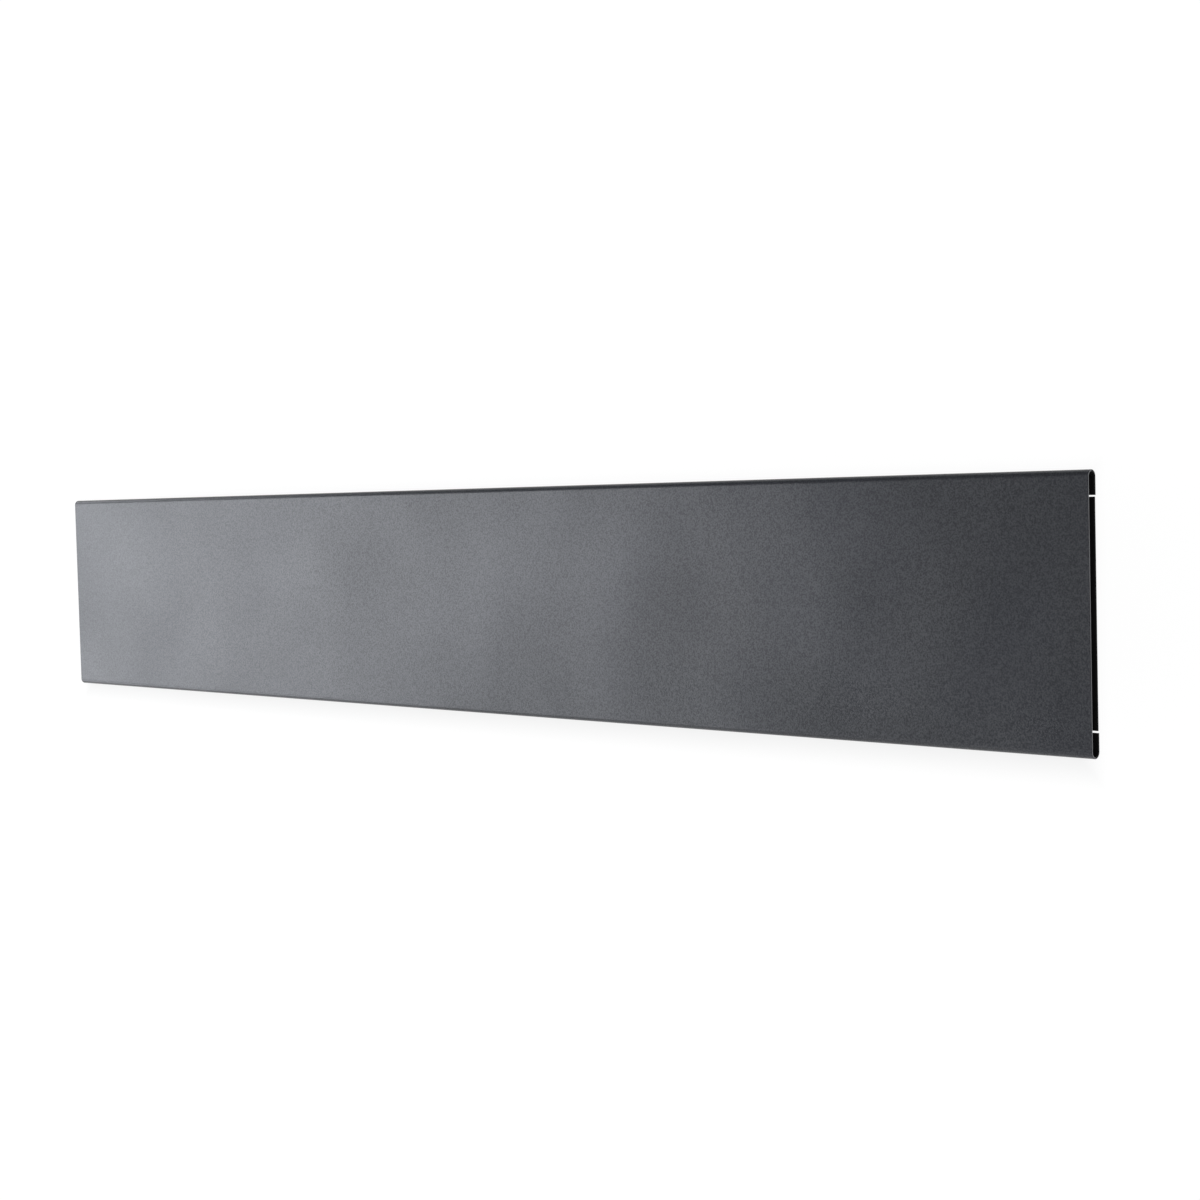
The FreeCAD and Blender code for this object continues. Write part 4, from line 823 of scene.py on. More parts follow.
@dataclass
class PanelShell:
    """The front panel, one sheet with rolled long edges and open ends, and the shield behind it."""

    sheet: float = 1.5
    back_lip: float = 19.5
    cut_round: float = 0.25
    roll_steps: int = 28

    def folds(self) -> list[tuple[Vector, Vector]]:
        """Follow the folded sheet from its top lip over both rolls to its bottom lip.

        Returns:
            Pairs of an outer and an inner point in the YZ plane.
        """
        low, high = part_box("front_panel")
        sheet = self.sheet * MM
        soft = self.cut_round * MM
        roll = (high.y - low.y) / 2
        middle = (high.y + low.y) / 2
        top_lip, bottom_lip = high.z - self.back_lip * MM, low.z + self.back_lip * MM

        def lip(z: float, shrink: float) -> tuple[Vector, Vector]:
            """Return the pair of a flat stretch behind, drawn in by shrink."""
            return Vector((high.y - shrink, z)), Vector((high.y - sheet + shrink, z))

        pairs = [lip(top_lip, soft), lip(top_lip + soft, 0.0)]
        for centre, start in ((high.z - roll, 0.0), (low.z + roll, math.pi)):
            hub = Vector((middle, centre))
            for step in range(self.roll_steps + 1):
                angle = start + math.pi * step / self.roll_steps
                ray = Vector((math.cos(angle), math.sin(angle)))
                pairs.append((hub + ray * roll, hub + ray * (roll - sheet)))
        return pairs + [lip(bottom_lip - soft, 0.0), lip(bottom_lip, soft)]

    def build(self) -> bpy.types.Object:
        """Sweep the folds along the panel, with softened cut edges at both ends.

        Returns:
            The panel.
        """
        low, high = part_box("front_panel")
        soft = self.cut_round * MM
        inset = self.cut_round / self.sheet
        middle = (low.y + high.y) / 2
        folds = self.folds()
        mesh = bmesh.new()
        skins = ([], [])
        for x, drawn in ((low.x, inset), (low.x + soft, 0.0),
                         (high.x - soft, 0.0), (high.x, inset)):
            for skin, share in zip(skins, (drawn, 1 - drawn)):
                points = [outer.lerp(inner, share) for outer, inner in folds]
                skin.append([mesh.verts.new((x, *point)) for point in points])
        # The inner faces take the black painted shade of the hollow behind the panel.
        for skin, slot in zip(skins, (PanelSkin.COAT, PanelSkin.INSIDE)):
            for first, second in zip(skin, skin[1:]):
                for at in range(len(first) - 1):
                    face = mesh.faces.new((first[at], first[at + 1], second[at + 1], second[at]))
                    face.material_index = slot
        outer, inner = skins
        for end in (0, -1):
            for row in range(len(outer) - 1):
                mesh.faces.new((outer[row][end], outer[row + 1][end],
                                inner[row + 1][end], inner[row][end]))
            for at in range(len(outer[end]) - 1):
                face = mesh.faces.new((outer[end][at], outer[end][at + 1],
                                       inner[end][at + 1], inner[end][at]))
                front = face.calc_center_median().y < middle
                # Cut faces at the front take the painted highlight, those behind the black painted
                # shade.
                face.material_index = PanelSkin.CUT if front else PanelSkin.INSIDE
        bmesh.ops.recalc_face_normals(mesh, faces=mesh.faces)
        made = finished("front_panel_sheet", mesh)
        return place("front_panel_sheet", made, PANEL_COAT, PAINTED_SHADE_BLACK, EDGE_HIGHLIGHT_COAT)

    def dress(self) -> None:
        """Settle the panel and give the shield the black painted shade."""
        settle(self.build(), "heater", "panel_coat", "front_panel")
        dress(PAINTED_SHADE_BLACK, "heat_shield")


@dataclass
class PanelFixings:
    """Welded studs inside the panel and the hexagonal nuts on them."""

    shoulder_length: float = 7.1
    shoulder_radius: float = 4.0
    shoulder_sides: int = 24
    thread_radius: float = 2.0
    thread_pitch: float = 0.7
    thread_depth: float = 0.3
    thread_start: float = 0.025
    thread_tip: float = 0.95
    thread_facets: int = 14
    thread_rings: int = 41
    nut_chamfer: float = 0.45
    nut_face_sides: int = 24
    seed: int = 11

    def stud(self, length: float) -> Recipe:
        """Write the tree of one stud: a shoulder and a threaded end.

        Args:
            length: Length over all, in millimetres.

        Returns:
            The recipe, whose seat is the panel's inner face.
        """
        recipe = Recipe("Panel stud", {
            "Shoulder Radius": self.shoulder_radius * MM,
            "Shoulder Length": self.shoulder_length * MM, "Thread Radius": self.thread_radius * MM,
            "Thread Pitch": self.thread_pitch * MM, "Thread Depth": self.thread_depth * MM,
            "Length": length * MM, "Seed": self.seed})
        tree, size = recipe.tree, recipe.inputs
        shoulder = recipe.rod(size["Shoulder Radius"], 0.0, size["Shoulder Length"],
                              self.shoulder_sides)

        def thread(along: Socket) -> tuple[Node, Node]:
            """Follow the thread from the shoulder to its tip.

            Args:
                along: Socket that runs from 0 to 1 along the thread.

            Returns:
                The nodes of the ridged radius and of the height.
            """
            height = add(tree, "ShaderNodeMapRange", {
                "Value": along, "To Min": size["Shoulder Length"], "To Max": size["Length"]})
            half = add(tree, "ShaderNodeMath", {0: size["Thread Pitch"], 1: 0.5},
                       operation="MULTIPLY")
            swing = add(tree, "ShaderNodeMath", {0: height, 1: half}, operation="PINGPONG")
            share = add(tree, "ShaderNodeMath", {0: swing, 1: half}, operation="DIVIDE")
            groove = add(tree, "ShaderNodeMath", {0: share, 1: size["Thread Depth"]},
                         operation="MULTIPLY")
            ridged = add(tree, "ShaderNodeMath", {0: size["Thread Radius"], 1: groove},
                         operation="SUBTRACT")
            start = add(tree, "ShaderNodeMapRange", {
                "Value": along, "From Max": self.thread_start})
            tip = add(tree, "ShaderNodeMapRange", {
                "Value": along, "From Min": 1.0, "From Max": self.thread_tip})
            both = add(tree, "ShaderNodeMath", {0: start, 1: tip}, operation="MULTIPLY")
            return add(tree, "ShaderNodeMath", {0: ridged, 1: both}, operation="MULTIPLY"), height

        threaded = recipe.revolved(self.thread_facets, self.thread_rings, thread)
        recipe.close([shoulder, threaded], FULL_TURN)
        return recipe

    def studs(self) -> None:
        """Grow the studs of each length."""
        lengths = {}
        for low, high in solids("panel_studs"):
            length = round((high.y - low.y) / MM, 2)
            lengths.setdefault(length, []).append(seat((low, high), low.y))
        for order, (length, seats) in enumerate(sorted(lengths.items())):
            piece = self.stud(length).grow(f"welded_studs_{order + 1}", seats, ZINC_FIXING)
            settle(piece, "heater", "zinc_steel", "panel_studs")

    def nuts(self) -> None:
        """Grow one chamfered hexagonal nut on each seat."""
        boxes = solids("panel_nuts")
        low, high = boxes[0]
        recipe = Recipe("Panel nut", {
            "Corner Radius": max(high.x - low.x, high.z - low.z) / 2, "Height": high.y - low.y,
            "Chamfer": self.nut_chamfer * MM, "Seed": self.seed})
        tree, size = recipe.tree, recipe.inputs
        shoulder = add(tree, "ShaderNodeMath", {0: size["Height"], 1: size["Chamfer"]},
                       operation="SUBTRACT").outputs[0]
        flats = add(tree, "ShaderNodeMath", {0: size["Corner Radius"], 1: HEXAGON_FLATS},
                    operation="MULTIPLY").outputs[0]
        prism = recipe.rod(size["Corner Radius"], 0.0, shoulder, HEXAGON_SIDES)
        face = recipe.rod(flats, 0.0, size["Height"], self.nut_face_sides)
        recipe.close([prism, face], FULL_TURN)
        seats = [seat(box, box[0].y) for box in boxes]
        piece = recipe.grow("hexagon_nuts", seats, ZINC_FIXING)
        settle(piece, "heater", "zinc_steel", "panel_nuts")

    def dress(self) -> None:
        """Make the studs and the nuts."""
        self.studs()
        self.nuts()


@dataclass
class BlindRivets:
    """Set blind rivets of one node: a domed head with the mandrel's stub, a shank and a tail."""

    node: str
    head_height: float = 1.3
    head_fullness: float = 0.8
    head_facets: int = 18
    head_rings: int = 11
    shank_radius: float = 1.6
    tail_radius: float = 2.4
    mandrel_radius: float = 0.95
    mandrel_rise: float = 0.2
    sides: int = 12
    seed: int = 5

    def rivet(self, low: Vector, high: Vector) -> Recipe:
        """Write the tree of one rivet.

        Args:
            low: Lowest corner of one rivet.
            high: Highest corner of it.

        Returns:
            The recipe, whose seat is the sheet's face under the head.
        """
        recipe = Recipe("Blind rivet", {
            "Head Radius": (high.x - low.x) / 2, "Head Height": self.head_height * MM,
            "Shank Radius": self.shank_radius * MM, "Tail Radius": self.tail_radius * MM,
            "Depth": high.y - low.y - self.head_height * MM,
            "Mandrel Radius": self.mandrel_radius * MM, "Mandrel Rise": self.mandrel_rise * MM,
            "Seed": self.seed})
        tree, size = recipe.tree, recipe.inputs
        crown = add(tree, "ShaderNodeMath", {0: size["Head Height"], 1: size["Mandrel Rise"]},
                    operation="SUBTRACT").outputs[0]
        domed = recipe.cap(size["Head Radius"], crown, self.head_fullness)
        head = recipe.revolved(self.head_facets, self.head_rings, domed)
        foot = add(tree, "ShaderNodeMath", {0: size["Depth"], 1: -1.0},
                   operation="MULTIPLY").outputs[0]
        swell = add(tree, "ShaderNodeMath", {0: foot, 1: size["Shank Radius"]},
                    operation="ADD").outputs[0]
        shank = recipe.rod(size["Shank Radius"], foot, 0.0, self.sides)
        tail = recipe.rod(size["Tail Radius"], foot, swell, self.sides)
        stub = recipe.rod(size["Mandrel Radius"], 0.0, size["Head Height"], self.sides)
        recipe.close([head, shank, tail, stub], FULL_TURN)
        return recipe

    def dress(self) -> None:
        """Grow the node's rivets."""
        boxes = solids(self.node)
        seats = [seat(box, box[1].y - self.head_height * MM) for box in boxes]
        piece = self.rivet(*boxes[0]).grow(f"{self.node}_set", seats, ZINC_FIXING)
        settle(piece, "heater", "zinc_steel", self.node)


@dataclass
class CasingShell:
    """The slotted casing behind the panel, its end caps, rivets and screws."""

    screw_head: float = 1.8
    head_fullness: float = 0.55
    head_facets: int = 24
    head_rings: int = 15
    recess_width: float = 0.9
    recess_span: float = 3.6
    recess_depth: float = 1.0
    shank_radius: float = 1.45
    shank_sides: int = 12
    seed: int = 3

    def screws(self) -> None:
        """Grow cross-recessed pan-head screws into the end caps."""
        boxes = solids("cap_screws")
        low, high = boxes[0]
        recipe = Recipe("Pan-head screw", {
            "Head Radius": (high.x - low.x) / 2, "Head Height": self.screw_head * MM,
            "Recess Width": self.recess_width * MM, "Recess Span": self.recess_span * MM,
            "Recess Depth": self.recess_depth * MM, "Shank Radius": self.shank_radius * MM,
            "Depth": high.y - low.y - self.screw_head * MM, "Seed": self.seed})
        tree, size = recipe.tree, recipe.inputs
        domed = recipe.cap(size["Head Radius"], size["Head Height"], self.head_fullness)
        head = recipe.revolved(self.head_facets, self.head_rings, domed)
        deep = add(tree, "ShaderNodeMath", {0: size["Recess Depth"], 1: 2.0}, operation="MULTIPLY")
        lift = add(tree, "ShaderNodeCombineXYZ", {"Y": size["Head Height"]})
        bars = []
        for along, across in (("Recess Span", "Recess Width"), ("Recess Width", "Recess Span")):
            cross = add(tree, "ShaderNodeCombineXYZ", {
                "X": size[along], "Y": deep, "Z": size[across]})
            bars.append(add(tree, "GeometryNodeTransform", {
                "Geometry": add(tree, "GeometryNodeMeshCube", {"Size": cross}),
                "Translation": lift}))
        cut = add(tree, "GeometryNodeMeshBoolean", {"Mesh 1": head, "Mesh 2": bars},
                  operation="DIFFERENCE", solver="EXACT")
        foot = add(tree, "ShaderNodeMath", {0: size["Depth"], 1: -1.0},
                   operation="MULTIPLY").outputs[0]
        shank = recipe.rod(size["Shank Radius"], foot, 0.0, self.shank_sides)
        recipe.close([cut, shank], FULL_TURN)
        seats = [seat(box, box[1].y - self.screw_head * MM) for box in boxes]
        piece = recipe.grow("pan_head_screws", seats, ZINC_FIXING)
        settle(piece, "heater", "zinc_steel", "cap_screws")

    def dress(self) -> None:
        """Coat the casing and set its fixings."""
        dress(CASING_COAT, "outlet_rail", "inlet_rail", "casing_back", "left_hanger",
              "right_hanger")
        dress(CAP_NYLON, "left_end_cap", "right_end_cap")
        for node in ("casing_rivets", "support_rivets", "hanger_rivets"):
            BlindRivets(node).dress()
        self.screws()


@dataclass
class HeatingElement:
    """The hairpin element with its fins, supports, bushes and terminals."""

    tube_radius: float = 4.25
    collar_radius: float = 5.2
    collar_length: float = 3.0
    collar_sides: int = 12
    lean_deg: float = 0.3
    seed: int = 7

    def fins(self) -> None:
        """Grow one collared plate at each fin's place."""
        boxes = solids("element_fins")
        low, high = boxes[0]
        tube_low, tube_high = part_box("element_tube")
        recipe = Recipe("Element fin", {
            "Sheet": high.x - low.x, "Depth": high.y - low.y, "Height": high.z - low.z,
            "Collar Radius": self.collar_radius * MM, "Collar Length": self.collar_length * MM,
            "Leg Reach": (tube_high.z - tube_low.z) / 2 - self.tube_radius * MM,
            "Seed": self.seed})
        tree, size = recipe.tree, recipe.inputs
        outline = add(tree, "ShaderNodeCombineXYZ", {
            "X": size["Sheet"], "Y": size["Depth"], "Z": size["Height"]})
        shapes = [add(tree, "GeometryNodeMeshCube", {"Size": outline})]
        collar = add(tree, "GeometryNodeMeshCylinder", {
            "Vertices": self.collar_sides, "Radius": size["Collar Radius"],
            "Depth": size["Collar Length"]})
        along = add(tree, "ShaderNodeMath", {0: size["Collar Length"], 1: 0.5},
                    operation="MULTIPLY")
        for side in (-1.0, 1.0):
            reach = add(tree, "ShaderNodeMath", {0: size["Leg Reach"], 1: side},
                        operation="MULTIPLY")
            shapes.append(add(tree, "GeometryNodeTransform", {
                "Geometry": collar, "Rotation": (0.0, math.pi / 2, 0.0),
                "Translation": add(tree, "ShaderNodeCombineXYZ", {"X": along, "Z": reach})}))
        lean = math.radians(self.lean_deg)
        recipe.close(shapes, (0.0, lean, lean))
        seats = [tuple((low + high) / 2) for low, high in boxes]
        piece = recipe.grow("fin_plates", seats, MILL_ALUMINIUM)
        settle(piece, "heater", "fin_aluminium", "element_fins")

    def dress(self) -> None:
        """Set the fins on the element and finish what holds it."""
        self.fins()
        dress(HEATED_SHEATH, "element_tube")
        dress(ZINC_PLATE, "left_element_support", "centre_element_support", "heat_barrier",
              "thermal_cutout")
        dress(STEATITE, "element_bushes", "terminal_beads")
        dress(PLATED_BRASS, "terminal_pins", "earth_tab")


class ControlBox:
    """What sits behind the right end cap: the board, the terminals and the fixed wiring."""

    def dress(self) -> None:
        """Finish the board and all that is on it."""
        dress(BOARD_LAMINATE, "control_board")
        dress(MOULDED_EPOXY, "board_parts")
        dress(IVORY_UREA, "board_standoffs", "terminal_block", "thermostat_body")
        dress(GLASS_SLEEVE, "leads")


@dataclass
class Thermostat:
    """The thermostat's fluted knob on the right end cap, with its printed dial."""

    top_radius: float = 13.5
    recess_radius: float = 8.0
    recess_margin: float = 1.0
    fit: float = 0.1
    flutes: int = 24
    flute_depth: float = 1.1
    flute_facets: int = 8
    side_rings: int = 6
    rim: float = 1.6
    rim_rings: int = 6
    dish_radius: float = 9.0
    dish_depth: float = 0.7
    dish_rings: int = 5
    pointer_width: float = 1.5
    pointer_length: float = 6.5
    pointer_depth: float = 0.6
    pointer_proud: float = 0.03
    pointer_round: float = 0.12
    ticks: int = 25
    ticks_per_number: int = 4
    sweep_deg: float = 270.0
    tick_radius: float = 16.6
    tick_length: float = 2.4
    short_tick: float = 0.55
    tick_width: float = 0.45
    number_radius: float = 22.2
    number_size: float = 5.0
    ink: float = 0.06
    seed: int = 1

    def knob(self) -> bpy.types.Object:
        """Turn the fluted knob, hollow over the nut and dished on top.

        Returns:
            The knob.
        """
        low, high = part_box("thermostat_knob")
        shaft_low, shaft_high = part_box("thermostat_shaft")
        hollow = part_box("thermostat_body")[1].x + self.recess_margin * MM
        bore = (shaft_high.z - shaft_low.z) / 2 + self.fit * MM
        foot, top, rim = (high.z - low.z) / 2, self.top_radius * MM, self.rim * MM
        flute, recess = self.flute_depth * MM, self.recess_radius * MM
        dish, depth = self.dish_radius * MM, self.dish_depth * MM
        start = low.x + rim / 4
        rings = [(shaft_high.x, 0.0, 0.0), (shaft_high.x, bore, 0.0), (hollow, bore, 0.0),
                 (hollow, recess, 0.0), (low.x, recess, 0.0), (low.x, foot - rim / 4, flute),
                 (start, foot, flute)]
        for step in range(1, self.side_rings + 1):
            share = step / self.side_rings
            x = start + (high.x - rim - start) * share
            rings.append((x, foot + (top - foot) * share, flute))
        for step in range(1, self.rim_rings + 1):
            angle = math.pi / 2 * step / self.rim_rings
            rings.append((high.x - rim + rim * math.sin(angle),
                          top - rim + rim * math.cos(angle), flute * math.cos(angle)))
        rings += [(high.x, dish + rim / 2, 0.0), (high.x - rim / 8, dish, 0.0)]
        for step in range(1, self.dish_rings):
            share = step / self.dish_rings
            rings.append((high.x - depth * math.sin(math.pi / 2 * share), dish * (1 - share), 0.0))
        rings.append((high.x - depth, 0.0, 0.0))
        middle = (low + high) / 2
        mesh = turned("fluted_knob", rings, middle.y, middle.z, self.flute_facets * self.flutes,
                      self.flutes)
        return place("fluted_knob", mesh, CONTROL_PLASTIC)

    def pointer(self) -> bpy.types.Object:
        """Inlay the pointer's line in the knob's top.

        Returns:
            The line.
        """
        low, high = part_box("thermostat_knob")
        middle = (low + high) / 2
        depth, length = self.pointer_depth * MM, self.pointer_length * MM
        outer = middle.z + self.top_radius * MM - self.rim * MM / 2
        size = Matrix.Diagonal((depth, self.pointer_width * MM, length, 1.0))
        spot = Matrix.Translation((high.x + self.pointer_proud * MM - depth / 2, middle.y,
                                   outer - length / 2))
        mesh = bmesh.new()
        bmesh.ops.create_cube(mesh, size=1.0, matrix=spot @ size)
        bmesh.ops.bevel(mesh, geom=mesh.edges, offset=self.pointer_round * MM,
                        offset_type="OFFSET", segments=2, profile=0.5, affect="EDGES")
        return place("knob_pointer", finished("knob_pointer", mesh), PRINT_INK)

    def dial(self) -> bpy.types.Object:
        """Print the dial's ticks on the cap, the numbered ones longer.

        Returns:
            The ticks.
        """
        low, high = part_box("thermostat_knob")
        recipe = Recipe("Dial ticks", {
            "Count": self.ticks, "Per Number": self.ticks_per_number,
            "Sweep": math.radians(self.sweep_deg), "Radius": self.tick_radius * MM,
            "Length": self.tick_length * MM, "Width": self.tick_width * MM, "Ink": self.ink * MM,
            "Seed": self.seed})
        tree, size = recipe.tree, recipe.inputs
        outline = add(tree, "ShaderNodeCombineXYZ", {
            "X": size["Ink"], "Y": size["Width"], "Z": size["Length"]})
        half = add(tree, "ShaderNodeMath", {0: size["Length"], 1: 0.5}, operation="MULTIPLY")
        bar = add(tree, "GeometryNodeTransform", {
            "Geometry": add(tree, "GeometryNodeMeshCube", {"Size": outline}),
            "Translation": add(tree, "ShaderNodeCombineXYZ", {"Z": half})})
        points, outward = recipe.ring(size["Count"], size["Sweep"], size["Radius"])
        index = add(tree, "GeometryNodeInputIndex")
        rest = add(tree, "ShaderNodeMath", {0: index, 1: size["Per Number"]}, operation="MODULO")
        long = add(tree, "ShaderNodeMapRange", {
            "Value": rest, "To Min": 1.0, "To Max": self.short_tick})
        stretch = add(tree, "ShaderNodeCombineXYZ", {"X": 1.0, "Y": 1.0, "Z": long})
        recipe.close([add(tree, "GeometryNodeInstanceOnPoints", {
            "Points": points, "Instance": bar, "Rotation": outward, "Scale": stretch})])
        centre = (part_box("right_end_cap")[1].x, (low.y + high.y) / 2, (low.z + high.z) / 2)
        return recipe.grow("dial_ticks", [centre], PRINT_INK)

    def numbers(self) -> bpy.types.Object:
        """Print the dial's numbers on the cap.

        Returns:
            The numbers.
        """
        low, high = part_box("thermostat_knob")
        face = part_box("right_end_cap")[1].x
        radius = self.number_radius * MM
        last = (self.ticks - 1) // self.ticks_per_number
        mesh = bmesh.new()
        for number in range(last + 1):
            words = bpy.data.curves.new("dial_number", "FONT")
            words.body = str(number)
            words.size, words.extrude = self.number_size * MM, self.ink * MM / 2
            words.align_x, words.align_y = "CENTER", "CENTER"
            holder = bpy.data.objects.new("dial_number", words)
            bpy.context.scene.collection.objects.link(holder)
            shape = evaluated(holder)
            angle = math.radians(self.sweep_deg) * (number / last - 0.5)
            y = (low.y + high.y) / 2 + radius * math.sin(angle)
            z = (low.z + high.z) / 2 + radius * math.cos(angle)
            shape.transform(Matrix(((0, 0, 1, face), (1, 0, 0, y), (0, 1, 0, z), (0, 0, 0, 1))))
            mesh.from_mesh(shape)
            bpy.data.objects.remove(holder)
            bpy.data.meshes.remove(shape)
        return place("dial_numbers", finished("dial_numbers", mesh), PRINT_INK)

    def dress(self) -> None:
        """Settle the knob on its shaft and print the dial."""
        settle(self.knob(), "knob", "control_plastic", "thermostat_knob")
        settle(self.pointer(), "knob", "control_plastic")
        settle(self.dial(), "heater", "cap_plastic")
        settle(self.numbers(), "heater", "cap_plastic")
        dress(PLATED_BRASS, "thermostat_nut", "thermostat_shaft")


@dataclass
class RockerSwitch:
    """The rocker switch under the dial, with a line and a ring for on and off."""

    edge: float = 0.45
    edge_steps: int = 3
    corner_deg: float = 40.0
    flat_deg: float = 1.0
    front_share: float = 0.8
    line_width: float = 0.6
    line_length: float = 2.6
    ring_radius: float = 1.25
    ring_steps: int = 40
    ink: float = 0.06

    def solid(self) -> bmesh.types.BMesh:
        """Copy the CAD rocker and make each of its flats one face.

        Returns:
            The copy, as an edit mesh.
        """
        mesh = merged("switch_rocker")
        bmesh.ops.dissolve_limit(mesh, angle_limit=math.radians(self.flat_deg), verts=mesh.verts,
                                 edges=mesh.edges)
        return mesh

    def rocker(self) -> bpy.types.Object:
        """Round the rocker's edges.

        Returns:
            The rocker.
        """
        mesh = self.solid()
        corner = math.radians(self.corner_deg)
        sharp = [edge for edge in mesh.edges
                 if edge.is_manifold and edge.calc_face_angle() > corner]
        bmesh.ops.bevel(mesh, geom=sharp, offset=self.edge * MM, offset_type="OFFSET",
                        segments=self.edge_steps, profile=0.5, affect="EDGES", clamp_overlap=True)
        bmesh.ops.recalc_face_normals(mesh, faces=mesh.faces)
        return place("soft_rocker", finished("soft_rocker", mesh), CONTROL_PLASTIC)

    def faces(self) -> list[tuple[Vector, Vector]]:
        """Find the two halves of the rocker's dished face.

        Returns:
            The middle and the normal of the lower half, then of the upper one.
        """
        mesh = self.solid()
        front = [face for face in mesh.faces if face.normal.x > self.front_share]
        front.sort(key=lambda face: -face.calc_area())
        halves = [(face.calc_center_median(), face.normal.copy()) for face in front[:2]]
        mesh.free()
        return sorted(halves, key=lambda half: half[0].z)

    def marks(self) -> bpy.types.Object:
        """Print a line on the lower half and a ring on the upper half.

        Returns:
            Both marks.
        """
        ink, radius = self.ink * MM, self.ring_radius * MM
        half_width, half_length = self.line_width * MM / 2, self.line_length * MM / 2
        mesh = bmesh.new()
        for (middle, normal), ringed in zip(self.faces(), (False, True)):
            across = Vector((0.0, 1.0, 0.0))
            flat = Matrix((across, normal.cross(across), normal)).transposed().to_4x4()
            flat.translation = middle
            steps = self.ring_steps if ringed else 4
            inner, outer = [], []
            for step in range(steps):
                angle = 2 * math.pi * (step + 0.5) / steps
                turn = Vector((math.cos(angle), math.sin(angle), 0.0))
                if ringed:
                    inner.append(turn * (radius - half_width))
                    outer.append(turn * (radius + half_width))
                else:
                    outer.append(Vector((math.copysign(half_width, turn.x),
                                         math.copysign(half_length, turn.y), 0.0)))
            inner_low, inner_high, outer_low, outer_high = (
                [mesh.verts.new(flat @ (point + Vector((0, 0, lift)))) for point in row]
                for row in (inner, outer) for lift in (-ink, ink))
            bands = [(outer_low, outer_high)]
            if ringed:
                bands += [(inner_high, inner_low), (outer_high, inner_high),
                          (inner_low, outer_low)]
            else:
                mesh.faces.new(outer_high)
                mesh.faces.new(outer_low[::-1])
            for first, second in bands:
                for step in range(steps):
                    after = (step + 1) % steps
                    mesh.faces.new((first[step], first[after], second[after], second[step]))
        bmesh.ops.recalc_face_normals(mesh, faces=mesh.faces)
        return place("rocker_marks", finished("rocker_marks", mesh), PRINT_INK)

    def dress(self) -> None:
        """Settle the rocker and its marks in the switch."""
        settle(self.rocker(), "rocker", "control_plastic", "switch_rocker")
        settle(self.marks(), "rocker", "control_plastic")
        dress(CONTROL_PLASTIC, "switch_body")


@dataclass
class PilotLamp:
    """The pilot lamp's tinted lens, ridged in rings."""

    stem_radius: float = 4.0
    collar_height: float = 1.5
    edge: float = 0.3
    ridges: int = 3
    ridge_depth: float = 0.18
    ridge_steps: int = 12
    dome_share: float = 0.999
    facets: int = 48

    def lens(self) -> bpy.types.Object:
        """Turn the lens with its stem, collar and ridged dome.

        Returns:
            The lens.
        """
        low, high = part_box("pilot_lens")
        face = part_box("right_end_cap")[1].x
        collar, stem, edge = (high.y - low.y) / 2, self.stem_radius * MM, self.edge * MM
        top = face + self.collar_height * MM
        rings = [(low.x, 0.0, 0.0), (low.x, stem - edge, 0.0), (low.x + edge, stem, 0.0),
                 (face, stem, 0.0), (face, collar - edge / 3, 0.0), (face + edge / 3, collar, 0.0),
                 (top - edge, collar, 0.0), (top, collar - edge, 0.0), (top, stem, 0.0)]
        steps = self.ridge_steps * self.ridges
        for step in range(steps):
            share = step / steps
            wave = 0.5 - 0.5 * math.cos(2 * math.pi * self.ridges * share)
            dip = self.ridge_depth * MM * wave
            rise = (high.x - top) * math.sqrt(1 - (1 - share) ** 2)
            radius = stem * (1 - share) if share else stem * self.dome_share
            rings.append((top + rise - dip * share, radius, 0.0))
        rings.append((high.x, 0.0, 0.0))
        middle = (low + high) / 2
        mesh = turned("ridged_lens", rings, middle.y, middle.z, self.facets)
        return place("ridged_lens", mesh, LENS_RED)

    def dress(self) -> None:
        """Settle the lens in the cap."""
        settle(self.lens(), "heater", "lens_red", "pilot_lens")


